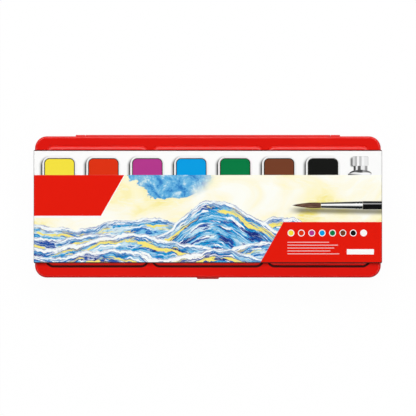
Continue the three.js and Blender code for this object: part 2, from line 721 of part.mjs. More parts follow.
const tube = new THREE.Group();
tube.position.set(tubeX, tubeBayFront + POCKET_FIT, tubeZ);
tube.add(piece("tube_body", tubeBody(), foilWhite));
tube.add(piece("tube_paint", tubePaint(), whitePaint));
tube.add(piece("tube_cap", tubeCap(), whitePlastic));
tube.add(piece("tube_cap_liner", capLiner(), whitePlastic));
tin.add(tube);

const brush = new THREE.Group();
brush.position.set(brushTipX, brushY, brushZ);
brush.rotation.z = -QUARTER_TURN;
brush.add(piece("brush_handle", brushHandle(), blackLacquer));
brush.add(piece("brush_ferrule", brushFerrule(), nickel));
brush.add(piece("brush_tuft", brushTuft(), brownHair));
tin.add(brush);

const paintSet = new THREE.Group();
paintSet.add(tin);
paintSet.add(piece("sleeve_upper", sleeveHalf(1), printedCard));
paintSet.add(piece("sleeve_lower", sleeveHalf(-1), printedCard));

export default paintSet;
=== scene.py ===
# A gouache paint set: a red lacquered tin in a printed card sleeve, and inside the tin a white tray with
# seven pans of gouache, a tube of white and a brush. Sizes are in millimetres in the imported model's frame,
# and become metres where a piece is set out.
import math
import random
from collections import namedtuple

import bmesh
import bpy
from mathutils import Matrix, Vector, noise


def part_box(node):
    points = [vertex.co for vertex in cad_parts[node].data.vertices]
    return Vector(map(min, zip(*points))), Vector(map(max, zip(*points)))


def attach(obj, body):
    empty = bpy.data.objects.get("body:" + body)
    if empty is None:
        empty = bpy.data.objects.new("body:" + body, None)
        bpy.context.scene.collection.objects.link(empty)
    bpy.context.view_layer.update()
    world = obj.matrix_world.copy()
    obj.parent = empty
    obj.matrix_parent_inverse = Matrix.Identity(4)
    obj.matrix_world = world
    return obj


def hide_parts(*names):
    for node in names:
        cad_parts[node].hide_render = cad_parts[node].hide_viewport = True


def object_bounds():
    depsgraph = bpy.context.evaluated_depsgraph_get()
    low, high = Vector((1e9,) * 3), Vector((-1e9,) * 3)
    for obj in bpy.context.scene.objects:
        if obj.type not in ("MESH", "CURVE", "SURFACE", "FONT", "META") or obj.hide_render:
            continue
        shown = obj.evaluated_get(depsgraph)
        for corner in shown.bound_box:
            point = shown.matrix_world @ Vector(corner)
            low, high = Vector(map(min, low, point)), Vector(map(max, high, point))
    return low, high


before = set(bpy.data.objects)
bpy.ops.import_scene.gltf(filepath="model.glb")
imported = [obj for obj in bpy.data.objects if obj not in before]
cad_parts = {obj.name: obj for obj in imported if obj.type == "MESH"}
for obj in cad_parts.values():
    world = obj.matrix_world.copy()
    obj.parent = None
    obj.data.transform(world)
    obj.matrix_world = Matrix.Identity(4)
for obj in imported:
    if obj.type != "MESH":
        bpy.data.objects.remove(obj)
cad_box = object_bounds()

# The camera looks straight down on the closed set, as for a catalogue. It hangs three metres up and has a
# long lens, so that no side wall shows. Its axis falls just beside the middle of the tin.
MM = 0.001
CAMERA_RISE = 3000
SENSOR_WIDTH = 36
PICTURE_WIDTH = 276.4
PICTURE_MIDDLE_X = 0.07
PICTURE_MIDDLE_Y = -0.7

camera = bpy.data.objects.new("camera", bpy.data.cameras.new("camera"))
camera.data.sensor_width = SENSOR_WIDTH
camera.data.lens = SENSOR_WIDTH * CAMERA_RISE / PICTURE_WIDTH
camera.data.clip_end = 2 * CAMERA_RISE * MM
camera.location = Vector((PICTURE_MIDDLE_X * MM, PICTURE_MIDDLE_Y * MM, cad_box[1].z + CAMERA_RISE * MM))
bpy.context.scene.collection.objects.link(camera)
bpy.context.scene.camera = camera
bpy.context.scene.view_settings.view_transform = "Standard"


# The set lies on a pale table in an even, pale room. A long soft box behind the hinge draws the bright
# lines on the lacquer, over a grey valance that keeps glare off the lid. A dark card round the lens and
# dark curtains at the front and the sides deepen what faces them. The camera sees the table as white.
ROOM_LEVEL = 1.64
LENS_CARD_EDGE = math.cos(math.radians(28))
LENS_CARD_CORE = math.cos(math.radians(15))
CURTAIN_EDGE = -math.cos(math.radians(66))
CURTAIN_CORE = -math.cos(math.radians(50))
CURTAIN_HEM = math.sin(math.radians(2))
CURTAIN_FULL = math.sin(math.radians(10))
SIDE_CURTAIN_EDGE = math.cos(math.radians(52))
SIDE_CURTAIN_CORE = math.cos(math.radians(34))
CARD_DEPTH = 0.96
VALANCE_TOP = math.sin(math.radians(32))
VALANCE_FULL = math.sin(math.radians(22))
VALANCE_END = math.cos(math.radians(84))
VALANCE_SIDE = math.cos(math.radians(66))
VALANCE_DEPTH = 0.7
BOX_DISTANCE = 1500
BOX_LENGTH = 2600
BOX_HEIGHT = 700
BOX_ELEVATION = math.radians(43)
BOX_RADIANCE = 1.65
TABLE_SIDE = 30000
TABLE_PALE = 0.45
TABLE_WHITE = 1.04
SHADOW_SHARE = 0.07


class Wire:
    """One socket among the nodes of a material or the world. Sums and products of it add Math nodes."""

    def __init__(self, tree, socket=None):
        self.tree = tree
        self.socket = socket

    def node(self, kind, settings=None, inputs=None, output=0):
        """Adds a node of any kind. Its settings are set first, and then its sockets' values or links."""
        made = self.tree.nodes.new(kind)
        for name, value in (settings or {}).items():
            if name == "stops":
                self.lay_stops(made.color_ramp, value)
            elif name == "blending":
                made.color_ramp.interpolation = value
            else:
                setattr(made, name, value)
        for name, value in (inputs or {}).items():
            if isinstance(value, Wire):
                self.tree.links.new(value.socket, made.inputs[name])
            else:
                made.inputs[name].default_value = value
        return Wire(self.tree, made.outputs[output]) if made.outputs else None

    @staticmethod
    def lay_stops(ramp, stops):
        """Gives a colour ramp its stops, from pairs of a place and a colour."""
        while len(ramp.elements) > 1:
            ramp.elements.remove(ramp.elements[-1])
        ramp.elements[0].position = stops[0][0]
        ramp.elements[0].color = stops[0][1]
        for place, colour in stops[1:]:
            ramp.elements.new(place).color = colour

    def maths(self, operation, *others):
        return self.node("ShaderNodeMath", {"operation": operation}, dict(enumerate((self, *others))))

    def __add__(self, other):
        return self.maths("ADD", other)

    __radd__ = __add__

    def __sub__(self, other):
        return self.maths("SUBTRACT", other)

    def __rsub__(self, other):
        return self.node("ShaderNodeMath", {"operation": "SUBTRACT"}, {0: other, 1: self})

    def __mul__(self, other):
        return self.maths("MULTIPLY", other)

    __rmul__ = __mul__

    def __truediv__(self, other):
        return self.maths("DIVIDE", other)

    def __pow__(self, other):
        return self.maths("POWER", other)

    def __neg__(self):
        return self.maths("MULTIPLY", -1)

    def __abs__(self):
        return self.maths("ABSOLUTE")

    def least(self, other):
        return self.maths("MINIMUM", other)

    def most(self, other):
        return self.maths("MAXIMUM", other)

    def rise(self, low, high):
        """Climbs smoothly from 0 at the low value to 1 at the high one. It falls if low is the greater."""
        flip = low > high
        settings = {"interpolation_type": "SMOOTHSTEP"}
        inputs = {"Value": self, "From Min": min(low, high), "From Max": max(low, high)}
        inputs |= {"To Min": float(flip), "To Max": float(not flip)}
        return self.node("ShaderNodeMapRange", settings, inputs)

    def mix(self, low, high):
        """Mixes two colours: the low one where this socket is 0, and the high one where it is 1."""
        return self.node("ShaderNodeMix", {"data_type": "RGBA"}, {0: self, 6: low, 7: high}, 2)

    def ramp(self, *stops, blending="LINEAR"):
        return self.node("ShaderNodeValToRGB", {"blending": blending, "stops": stops}, {"Fac": self})

    def noise(self, scale, detail=2.0, roughness=0.5, distortion=0.0):
        """Soft noise between 0 and 1, with this socket as the place. The scale is in bumps a unit."""
        inputs = {"Vector": self, "Scale": scale, "Detail": detail}
        inputs |= {"Roughness": roughness, "Distortion": distortion}
        return self.node("ShaderNodeTexNoise", {}, inputs)

    def point(self, y, z=0.0):
        """A vector with this socket as its X."""
        return self.node("ShaderNodeCombineXYZ", {}, {0: self, 1: y, 2: z})

    def axis(self, name):
        return self.node("ShaderNodeSeparateXYZ", {}, {0: self}, name)

    def stretched(self, x, y, z):
        """This socket's vector, scaled by its own amount along each axis."""
        return self.node("ShaderNodeVectorMath", {"operation": "MULTIPLY"}, {0: self, 1: (x, y, z)})


def shade(red, green, blue):
    """A colour as a paint chart gives it, from 0 to 255, as the linear colour that a socket takes."""
    parts = [part / 255 for part in (red, green, blue)]
    return (*[part / 12.92 if part <= 0.04045 else ((part + 0.055) / 1.055) ** 2.4 for part in parts], 1)


world = bpy.data.worlds.new("pale_room")
world.use_nodes = True
world.node_tree.nodes.clear()
bpy.context.scene.world = world
room = Wire(world.node_tree)
direction = room.node("ShaderNodeTexCoord", output="Generated")
sideways, forward, upward = [direction.axis(name) for name in "XYZ"]
overhead = upward.rise(LENS_CARD_EDGE, LENS_CARD_CORE)
in_front = forward.rise(CURTAIN_EDGE, CURTAIN_CORE) * upward.rise(CURTAIN_HEM, CURTAIN_FULL)
at_sides = abs(sideways).rise(SIDE_CURTAIN_EDGE, SIDE_CURTAIN_CORE)
behind = forward.rise(VALANCE_END, VALANCE_SIDE) * upward.rise(VALANCE_TOP, VALANCE_FULL)
dark = overhead.most(in_front).most(at_sides)
lit = ROOM_LEVEL * (1 - dark * CARD_DEPTH) * (1 - behind * VALANCE_DEPTH)
straight = room.node("ShaderNodeLightPath", output="Is Camera Ray")
level = straight + (1 - straight) * lit
light = room.node("ShaderNodeBackground", {}, {"Color": (1, 1, 1, 1), "Strength": level})
room.node("ShaderNodeOutputWorld", {}, {"Surface": light})

lamp = bpy.data.lights.new("soft_box", "AREA")
lamp.shape = "RECTANGLE"
lamp.size = BOX_LENGTH * MM
lamp.size_y = BOX_HEIGHT * MM
lamp.energy = BOX_RADIANCE * math.pi * lamp.size * lamp.size_y
soft_box = bpy.data.objects.new("soft_box", lamp)
away = Vector((0, math.cos(BOX_ELEVATION), math.sin(BOX_ELEVATION)))
soft_box.location = away * BOX_DISTANCE * MM
soft_box.rotation_euler = away.to_track_quat("Z", "Y").to_euler()
bpy.context.scene.collection.objects.link(soft_box)

table_paint = bpy.data.materials.new("table_paint")
table_paint.use_nodes = True
table_paint.node_tree.nodes.clear()
board = Wire(table_paint.node_tree)
matt = board.node("ShaderNodeBsdfDiffuse", {}, {"Color": (TABLE_PALE, TABLE_PALE, TABLE_PALE, 1)})
bright = board.node("ShaderNodeEmission", {}, {"Color": (1, 1, 1, 1), "Strength": TABLE_WHITE})
shown = board.node("ShaderNodeLightPath", output="Is Camera Ray") * (1 - SHADOW_SHARE)
table_surface = board.node("ShaderNodeMixShader", {}, {0: shown, 1: matt, 2: bright})
board.node("ShaderNodeOutputMaterial", {}, {"Surface": table_surface})

table_mesh = bmesh.new()
bmesh.ops.create_grid(table_mesh, x_segments=1, y_segments=1, size=TABLE_SIDE * MM / 2)
table_data = bpy.data.meshes.new("table")
table_mesh.to_mesh(table_data)
table_mesh.free()
table_data.materials.append(table_paint)
table = bpy.data.objects.new("table", table_data)
bpy.context.scene.collection.objects.link(table)


# The base of the tin: tinplate drawn into a shallow tray, lacquered red outside and white inside. Its neck
# carries the lid and ends in a hem, its floor is pressed up inside a flat foot, and a recess at the back
# takes the lid's rolled hinge.
SHEET = 0.35
CORNER_RADIUS = 8
CORNER_STEPS = 14
FILLET_STEPS = 6
ROLL_STEPS = 3
LEAST_CORNER = 0.3
WELD_DISTANCE = 0.002
SHARP_ANGLE = math.radians(38)
BOTTOM_RADIUS = 1.5
WALL_HEIGHT = 11
SHOULDER_RADIUS = 0.3
NECK_INSET = 0.7
NECK_HEIGHT = 2.6
HEM_DEPTH = 1.2
FOOT_RIM = 5
FLOOR_RISE = 0.5
PARTING_GAP = 0.4
KNUCKLE_RADIUS = 0.75
KNUCKLE_BORE = 0.4
KNUCKLE_GAP = 0.3
KNUCKLE_BEVEL = 0.08
KNUCKLE_SIDES = 24
END_KNUCKLE = 6.2
RECESS_ROOM = 0.4
CUT_OVERRUN = 1
RED_OUTSIDE = 0
WHITE_INSIDE = 1
RED_LACQUER = shade(226, 23, 13)
RED_DEEP = shade(221, 20, 11)
WHITE_ENAMEL = shade(230, 231, 228)
ENAMEL_STAIN = shade(212, 214, 216)

Outline = namedtuple("Outline", "length width radius x y", defaults=(0, 0))


def rounded_ring(outline, inset, z):
    """Points round a rounded rectangle that is drawn in by the inset. Every ring has as many points."""
    corner = max(outline.radius - inset, LEAST_CORNER)
    reach_x = outline.length / 2 - inset - corner
    reach_y = outline.width / 2 - inset - corner
    ring = []
    for side, (side_x, side_y) in enumerate(((1, 1), (-1, 1), (-1, -1), (1, -1))):
        for step in range(CORNER_STEPS + 1):
            angle = (side + step / CORNER_STEPS) * math.pi / 2
            x = outline.x + side_x * reach_x + corner * math.cos(angle)
            y = outline.y + side_y * reach_y + corner * math.sin(angle)
            ring.append(Vector((x, y, z)))
    return ring


def arc(inset, z, radius, start, end, steps=FILLET_STEPS):
    """Pairs of inset and height round a centre, from one angle to another in degrees."""
    angles = [math.radians(start + (end - start) * step / steps) for step in range(steps + 1)]
    return [(inset + radius * math.cos(angle), z + radius * math.sin(angle)) for angle in angles]


def skin(mesh, rings, finish=0, closed=True, loop=False):
    """Joins each ring of points to the next with faces. Closed rings go round, as does a loop of rings."""
    made = [[mesh.verts.new(point) for point in ring] for ring in rings]
    for low, high in zip(made, made[1:] + made[:1] if loop else made[1:]):
        for at in range(len(low) if closed else len(low) - 1):
            after = (at + 1) % len(low)
            mesh.faces.new((low[at], low[after], high[after], high[at])).material_index = finish
    return made


def pressed(mesh, outline, profile, finish=0):
    """Skins a profile of insets and heights round an outline."""
    return skin(mesh, [rounded_ring(outline, inset, z) for inset, z in profile], finish)


def cap(mesh, ring, finish=0):
    mesh.faces.new(ring).material_index = finish


def cap_ends(mesh, rings):
    cap(mesh, rings[0])
    cap(mesh, rings[-1])


def turns_round(sides):
    """Angles that go evenly round a circle."""
    return [2 * math.pi * at / sides for at in range(sides)]


def turned(mesh, profile, centre, axis, sides, loop=False):
    """Skins a round piece about a line along X or Y, from pairs of a place on the line and a radius."""
    rings = []
    for along, radius in profile:
        circle = [(radius * math.cos(turn), radius * math.sin(turn)) for turn in turns_round(sides)]
        if axis == "X":
            rings.append([centre + Vector((along, side, rise)) for side, rise in circle])
        else:
            rings.append([centre + Vector((side, along, rise)) for side, rise in circle])
    made = skin(mesh, rings, loop=loop)
    if not loop:
        cap_ends(mesh, made)


def tidied(mesh):
    bmesh.ops.remove_doubles(mesh, verts=mesh.verts, dist=WELD_DISTANCE)
    bmesh.ops.recalc_face_normals(mesh, faces=mesh.faces)
    return mesh


def carved(mesh, other, operation):
    """Cuts one mesh out of another, or joins the two, with the exact Boolean."""
    blanks = []
    for shape in (mesh, other):
        data = bpy.data.meshes.new("blank")
        tidied(shape).to_mesh(data)
        shape.free()
        blanks.append(bpy.data.objects.new("blank", data))
        bpy.context.scene.collection.objects.link(blanks[-1])
    cut = blanks[0].modifiers.new("cut", "BOOLEAN")
    cut.operation = operation
    cut.solver = "EXACT"
    cut.object = blanks[1]
    result = bmesh.new()
    result.from_object(blanks[0], bpy.context.evaluated_depsgraph_get())
    for blank in blanks:
        bpy.data.meshes.remove(blank.data)
    return result


def block(x0, x1, y0, y1, z0, z1):
    mesh = bmesh.new()
    corners = [(x0, y0), (x1, y0), (x1, y1), (x0, y1)]
    cap_ends(mesh, skin(mesh, [[Vector((x, y, z)) for x, y in corners] for z in (z0, z1)]))
    return mesh


def ends_of(node):
    """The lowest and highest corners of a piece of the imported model, in millimetres."""
    return [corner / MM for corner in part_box(node)]


def set_out(name, mesh, *finishes, lift=0.0):
    """Makes a mesh an object in metres, with smooth shading that stops at its sharp edges."""
    tidied(mesh)
    data = bpy.data.meshes.new(name)
    mesh.to_mesh(data)
    mesh.free()
    data.transform(Matrix.Scale(MM, 4) @ Matrix.Translation((0, 0, lift)))
    data.shade_smooth()
    data.set_sharp_from_angle(angle=SHARP_ANGLE)
    for finish in finishes:
        data.materials.append(finish)
    made = bpy.data.objects.new(name, data)
    bpy.context.scene.collection.objects.link(made)
    even = made.modifiers.new("even_shading", "WEIGHTED_NORMAL")
    even.keep_sharp = True
    return made


def started(name):
    """Starts a material, and gives back a wire to add its nodes with and the place on the piece."""
    finish = bpy.data.materials.new(name)
    finish.use_nodes = True
    finish.node_tree.nodes.clear()
    start = Wire(finish.node_tree)
    place = start.node("ShaderNodeTexCoord", output="Object").stretched(1 / MM, 1 / MM, 1 / MM)
    return finish, start, place


def surfaced(start, looks, relief=None):
    """Ends a material: its looks, and a relief in millimetres that bumps it."""
    if relief is not None:
        bump = start.node("ShaderNodeBump", {}, {"Height": relief, "Distance": MM, "Strength": 1})
        looks = {**looks, "Normal": bump}
    surface = start.node("ShaderNodeBsdfPrincipled", {}, looks)
    start.node("ShaderNodeOutputMaterial", {}, {"Surface": surface})


def lacquered_tin():
    """Red stoving lacquer on tinplate: glossy, with a faint orange-peel surface and a few light rubs."""
    finish, start, place = started("red_lacquer")
    drift = place.noise(0.02, 3, 0.6)
    peel = place.noise(0.9, 2, 0.5)
    rubs = place.stretched(0.4, 2.4, 2.4).noise(0.6, 4, 0.7).rise(0.6, 0.72)
    smears = place.noise(0.05, 4, 0.65)
    surfaced(
        start,
        {
            "Base Color": drift.rise(0.3, 0.7).mix(RED_LACQUER, RED_DEEP),
            "Roughness": 0.13 + 0.07 * smears + 0.1 * rubs,
            "IOR": 1.43,
        },
        peel * 0.006,
    )
    return finish


def enamelled_tin():
    """White enamel, as a palette has: glossy, slightly wavy, and faintly stained by old paint."""
    finish, start, place = started("white_enamel")
    stain = place.noise(0.045, 5, 0.6).rise(0.58, 0.78)
    waves = place.noise(0.25, 2, 0.5)
    surfaced(
        start,
        {
            "Base Color": (stain * 0.35).mix(WHITE_ENAMEL, ENAMEL_STAIN),
            "Roughness": 0.18 + 0.12 * place.noise(0.3, 3, 0.6),
            "Coat Weight": 0.12,
            "Coat Roughness": 0.06,
        },
        waves * 0.02,
    )
    return finish


red_lacquer = lacquered_tin()
white_enamel = enamelled_tin()

base_low, base_high = ends_of("tin_base")
tin_foot = base_low.z
tin = Outline(base_high.x - base_low.x, -2 * base_low.y, CORNER_RADIUS)
rim_top = WALL_HEIGHT + NECK_HEIGHT
wall_y = tin.width / 2
pin_low, pin_high = ends_of("hinge_pin")
hinge_end = pin_high.x
hinge_y = (pin_low.y + pin_high.y) / 2
hinge_z = (pin_low.z + pin_high.z) / 2 - tin_foot
lid_knuckle_end = hinge_end - END_KNUCKLE - KNUCKLE_GAP

base = bmesh.new()
outside = pressed(
    base,
    tin,
    [
        (FOOT_RIM + FLOOR_RISE, FLOOR_RISE),
        (FOOT_RIM, 0),
        *arc(BOTTOM_RADIUS, BOTTOM_RADIUS, BOTTOM_RADIUS, -90, -180),
        *arc(SHOULDER_RADIUS, WALL_HEIGHT - SHOULDER_RADIUS, SHOULDER_RADIUS, 180, 90),
        (NECK_INSET, WALL_HEIGHT),
    ],
)
cap(base, outside[0])
inside = pressed(
    base,
    tin,
    [
        (NECK_INSET, WALL_HEIGHT),
        *arc(NECK_INSET + SHEET, rim_top - SHEET, SHEET, 180, 0, 2 * FILLET_STEPS),
        (NECK_INSET + 2 * SHEET, rim_top - HEM_DEPTH),
        (NECK_INSET + SHEET, rim_top - HEM_DEPTH),
        (NECK_INSET + SHEET, WALL_HEIGHT - SHEET),
        (SHEET, WALL_HEIGHT - SHEET),
        *arc(BOTTOM_RADIUS, BOTTOM_RADIUS, BOTTOM_RADIUS - SHEET, 180, 270),
        (FOOT_RIM, SHEET),
        (FOOT_RIM + FLOOR_RISE, FLOOR_RISE + SHEET),
    ],
    finish=WHITE_INSIDE,
)
cap(base, inside[-1], WHITE_INSIDE)
recess_end = lid_knuckle_end + KNUCKLE_GAP
recess_floor = hinge_z - KNUCKLE_RADIUS - RECESS_ROOM
neck_y = wall_y - NECK_INSET
housing_end = recess_end + SHEET
housing = block(-housing_end, housing_end, neck_y - SHEET, wall_y, recess_floor - SHEET, WALL_HEIGHT)
recess_back = wall_y + CUT_OVERRUN
recess = block(-recess_end, recess_end, neck_y, recess_back, recess_floor, WALL_HEIGHT + PARTING_GAP)
base = carved(carved(base, housing, "UNION"), recess, "DIFFERENCE")


def rolled_knuckle(mesh, x0, x1):
    """A stretch of sheet rolled round the hinge wire."""
    profile = [
        (x0, KNUCKLE_BORE),
        (x0, KNUCKLE_RADIUS - KNUCKLE_BEVEL),
        (x0 + KNUCKLE_BEVEL, KNUCKLE_RADIUS),
        (x1 - KNUCKLE_BEVEL, KNUCKLE_RADIUS),
        (x1, KNUCKLE_RADIUS - KNUCKLE_BEVEL),
        (x1, KNUCKLE_BORE),
    ]
    turned(mesh, profile, Vector((0, hinge_y, hinge_z)), "X", KNUCKLE_SIDES, loop=True)


rolled_knuckle(base, hinge_end - END_KNUCKLE, hinge_end)
rolled_knuckle(base, -hinge_end, END_KNUCKLE - hinge_end)
tin_base = set_out("base_of_tin", base, red_lacquer, white_enamel, lift=tin_foot)
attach(tin_base, "base")
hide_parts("tin_base")


# The lid: drawn from the same tinplate, red outside and white inside, where it serves as the palette. Three
# wells are pressed outwards in it, each inside a fine beaded line. Its back edge is rolled round the hinge
# wire, and a small tab at the front takes the thumb.
LID_TOP = 19
LID_EDGE_RADIUS = 1.5
LID_EDGE_STEPS = 10
LID_HEM_RADIUS = 0.15
WELL_FRONT_BORDER = 7.1
WELL_BACK_BORDER = 6.2
WELL_END_BORDER = 7.3
WELL_GAP = 2.5
WELL_CORNER = 5
WELL_WIDTH_SHARES = (0.324, 0.352, 0.324)
WELL_BEAD = [
    (-0.4, 0),
    (-0.32, -0.06),
    (-0.16, -0.28),
    (0.02, -0.38),
    (0.3, -0.38),
    (0.56, -0.24),
    (0.78, 0.02),
    (1, 0.26),
    (1.16, 0.36),
]
WELL_SLOPE = [(1.16, 0.36), (1.9, 0.69), (2.3, 0.8), (3, 0.88), (4, 0.95), (5.2, 1)]
WELL_SHEET_LEAN = 0.12
RED_CREASE = 2
# Painted shade in the beaded crease: it darkens towards the front of the lid, between these two lines, to
# this near-black.
CREASE_UNSHADED_Y = -30
CREASE_SHADED_Y = -36.5
CREASE_SHADE = shade(14, 1, 1)
LIP_LENGTH = 15.5
LIP_TAPER = 0.8
LIP_THICKNESS = 0.7
LIP_ROOT = 0.2
LIP_BEVEL = 0.16

lid_edge = WALL_HEIGHT + PARTING_GAP
lid = bmesh.new()
shell = pressed(
    lid,
    tin,
    [
        (LID_HEM_RADIUS, lid_edge),
        *arc(LID_HEM_RADIUS, lid_edge + LID_HEM_RADIUS, LID_HEM_RADIUS, 270, 180, ROLL_STEPS),
        *arc(LID_EDGE_RADIUS, LID_TOP - LID_EDGE_RADIUS, LID_EDGE_RADIUS, 180, 90, LID_EDGE_STEPS),
    ],
)
lining = pressed(
    lid,
    tin,
    [
        *arc(LID_EDGE_RADIUS, LID_TOP - LID_EDGE_RADIUS, LID_EDGE_RADIUS - SHEET, 90, 180),
        (SHEET, lid_edge),
        (LID_HEM_RADIUS, lid_edge),
    ],
    finish=WHITE_INSIDE,
)
well_room = tin.length - 2 * WELL_END_BORDER - (len(WELL_WIDTH_SHARES) - 1) * WELL_GAP
well_start = -tin.length / 2 + WELL_END_BORDER
well_width = tin.width - WELL_FRONT_BORDER - WELL_BACK_BORDER
well_y = (WELL_FRONT_BORDER - WELL_BACK_BORDER) / 2
sheet_edges = [shell[-1]]
lining_edges = [lining[0]]
for share in WELL_WIDTH_SHARES:
    well_length = well_room * share
    well = Outline(well_length, well_width, WELL_CORNER, well_start + well_length / 2, well_y)
    well_start += well_length + WELL_GAP
    bead = pressed(lid, well, [(inset, LID_TOP + rise) for inset, rise in WELL_BEAD], RED_CREASE)
    slope = pressed(lid, well, [(inset, LID_TOP + rise) for inset, rise in WELL_SLOPE])
    under_side = [
        (inset + WELL_SHEET_LEAN, LID_TOP + rise - SHEET) for inset, rise in WELL_BEAD + WELL_SLOPE[1:]
    ]
    under = pressed(lid, well, under_side, WHITE_INSIDE)
    cap(lid, slope[-1])
    cap(lid, under[-1], WHITE_INSIDE)
    sheet_edges.append(bead[0])
    lining_edges.append(under[0])


def filled(mesh, rings, finish):
    """Fills a flat sheet inside the first ring of vertices, round the holes that the others leave."""
    edges = [mesh.edges.get((ring[at - 1], ring[at])) for ring in rings for at in range(len(ring))]
    made = bmesh.ops.triangle_fill(mesh, use_beauty=True, use_dissolve=False, edges=edges)
    for face in made["geom"]:
        if isinstance(face, bmesh.types.BMFace):
            face.material_index = finish


filled(lid, sheet_edges, RED_OUTSIDE)
filled(lid, lining_edges, WHITE_INSIDE)
rolled_knuckle(lid, -lid_knuckle_end, lid_knuckle_end)

lip_front = ends_of("tin_lid")[0].y
lip = bmesh.new()
lip_corners = [
    (-LIP_LENGTH / 2, -wall_y + LIP_ROOT),
    (LIP_LENGTH / 2, -wall_y + LIP_ROOT),
    (LIP_LENGTH / 2 - LIP_TAPER, lip_front),
    (LIP_TAPER - LIP_LENGTH / 2, lip_front),
]
lip_rings = [[Vector((x, y, z)) for x, y in lip_corners] for z in (lid_edge, lid_edge + LIP_THICKNESS)]
cap_ends(lip, skin(lip, lip_rings))
bmesh.ops.bevel(lip, geom=lip.edges[:], offset=LIP_BEVEL, segments=ROLL_STEPS, profile=0.5, affect="EDGES")
lip_data = bpy.data.meshes.new("lip")
lip.to_mesh(lip_data)
lip.free()
lid.from_mesh(lip_data)
bpy.data.meshes.remove(lip_data)


def shaded_crease():
    """The lacquer in the beaded line. Towards the front of the lid it is painted nearly black, as painted
    shade in the crease.
    """
    finish, start, place = started("shaded_crease")
    grain = place.noise(1.1, 4, 0.7)
    # The mask of painted shade: 0 towards the back of the lid, 1 at its front.
    grime_and_shade = place.axis("Y").rise(CREASE_UNSHADED_Y, CREASE_SHADED_Y) * (0.9 + 0.1 * grain)
    surfaced(
        start,
        {
            "Base Color": grime_and_shade.mix(RED_LACQUER, CREASE_SHADE),
            "Roughness": 0.18 + 0.5 * grime_and_shade,
            "IOR": 1.28,
        },
        grain * 0.02 * grime_and_shade,
    )
    return finish


tin_lid = set_out("lid_of_tin", lid, red_lacquer, white_enamel, shaded_crease(), lift=tin_foot)
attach(tin_lid, "lid")
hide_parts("tin_lid")


# The hinge pin: a length of drawn steel wire that runs through the rolled knuckles of the lid and the base,
# with its cut ends dressed round.
PIN_DRESSING = 0.12
STEEL = shade(186, 186, 189)
STEEL_DULL = shade(150, 150, 154)


def drawn_wire():
    """Bright steel, with fine marks along it from the drawing die."""
    finish, start, place = started("steel_wire")
    draw_marks = place.stretched(0.3, 14, 14).noise(1, 3, 0.6)
    surfaced(
        start,
        {
            "Base Color": draw_marks.mix(STEEL, STEEL_DULL),
            "Metallic": 1.0,
            "Roughness": 0.24 + 0.2 * draw_marks,
        },
        draw_marks * 0.01,
    )
    return finish


pin_radius = (pin_high.z - pin_low.z) / 2
pin = bmesh.new()
pin_profile = [
    (-hinge_end, pin_radius - PIN_DRESSING),
    (-hinge_end + PIN_DRESSING, pin_radius),
    (hinge_end - PIN_DRESSING, pin_radius),
    (hinge_end, pin_radius - PIN_DRESSING),
]
turned(pin, pin_profile, Vector((0, hinge_y, hinge_z)), "X", KNUCKLE_SIDES)
hinge_pin = set_out("hinge_wire", pin, drawn_wire(), lift=tin_foot)
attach(hinge_pin, "base")
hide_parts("hinge_pin")


# The tray: one sheet of white plastic, vacuum formed with a pocket for each pan, a bay for the tube and a
# groove with a finger scoop for the brush. It drops into the base on its skirt. Its pockets have soft lips.
TRAY_CORNER = 6.3
TRAY_WALL = 0.8
TRAY_EDGE_RADIUS = 0.6
POCKET_FIT = 0.3
POCKET_FILLET = 0.8
POCKET_FLARE = 0.35
BAY_CORNER = 1
BAY_BACK_ROOM = 5
GROOVE_FIT = 1
GROOVE_CORNER = 3
GROOVE_FILLET = 2.4
GROOVE_FLARE = 0.7
SCOOP_LENGTH = 30
SCOOP_WIDTH = 22
SCOOP_CORNER = 8
SCOOP_DEPTH = 6.4
SCOOP_FILLET = 3.4
PAN_CORNER = 4.8
PAN_DRAFT = 0.5
PLASTIC_GLOW_DEPTH = 0.6
TRAY_WHITE = shade(236, 236, 232)
TRAY_SHADE = shade(228, 228, 223)
TRAY_ROUGHNESS = 0.24
GOUACHES = {
    "yellow": (245, 226, 64),
    "orange_red": (222, 49, 13),
    "magenta": (179, 56, 140),
    "blue": (0, 157, 226),
    "green": (0, 121, 65),
    "brown": (115, 62, 39),
    "black": (18, 19, 17),
}


def outline_of(node, corner, margin=0.0):
    """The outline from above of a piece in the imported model, with a margin all round it."""
    low, high = ends_of(node)
    size = high - low
    middle = (low + high) / 2
    return Outline(size.x + 2 * margin, size.y + 2 * margin, corner + margin, middle.x, middle.y)


def pocket(hung, hollow, outline, floor_z, draft, fillet, flare):
    """Adds a pocket to two meshes: the plastic that hangs under the deck, and the room inside it."""
    shell = outline._replace(
        length=outline.length + 2 * TRAY_WALL,
        width=outline.width + 2 * TRAY_WALL,
        radius=outline.radius + TRAY_WALL,
    )
    hung_profile = [
        (draft + fillet / 2, floor_z - TRAY_WALL),
        (draft, floor_z - TRAY_WALL + fillet / 2),
        (0, deck_z - TRAY_WALL / 2),
    ]
    hollow_profile = [
        *arc(draft + fillet, floor_z + fillet, fillet, 270, 180),
        *arc(-flare, deck_z - flare, flare, 0, 90),
        (-flare, deck_z + CUT_OVERRUN),
    ]
    for mesh, solid, profile in ((hung, shell, hung_profile), (hollow, outline, hollow_profile)):
        cap_ends(mesh, pressed(mesh, solid, profile))


def formed_plastic(name, colour, deep, roughness):
    """White plastic: glossy, with the fine pebble that the mould leaves and a few hairline scratches."""
    finish, start, place = started(name)
    pebble = place.noise(1.6, 2, 0.5)
    sink = place.noise(0.06, 3, 0.6)
    hairlines = place.stretched(0.15, 3, 3).noise(0.8, 5, 0.8, 0.4).rise(0.66, 0.72)
    surfaced(
        start,
        {
            "Base Color": (sink.rise(0.35, 0.7) * 0.5).mix(colour, deep),
            "Roughness": roughness + 0.1 * pebble + 0.12 * hairlines,
            "IOR": 1.49,
            "Subsurface Weight": 0.12,
            "Subsurface Scale": PLASTIC_GLOW_DEPTH * MM,
        },
        pebble * 0.005 - hairlines * 0.004,
    )
    return finish


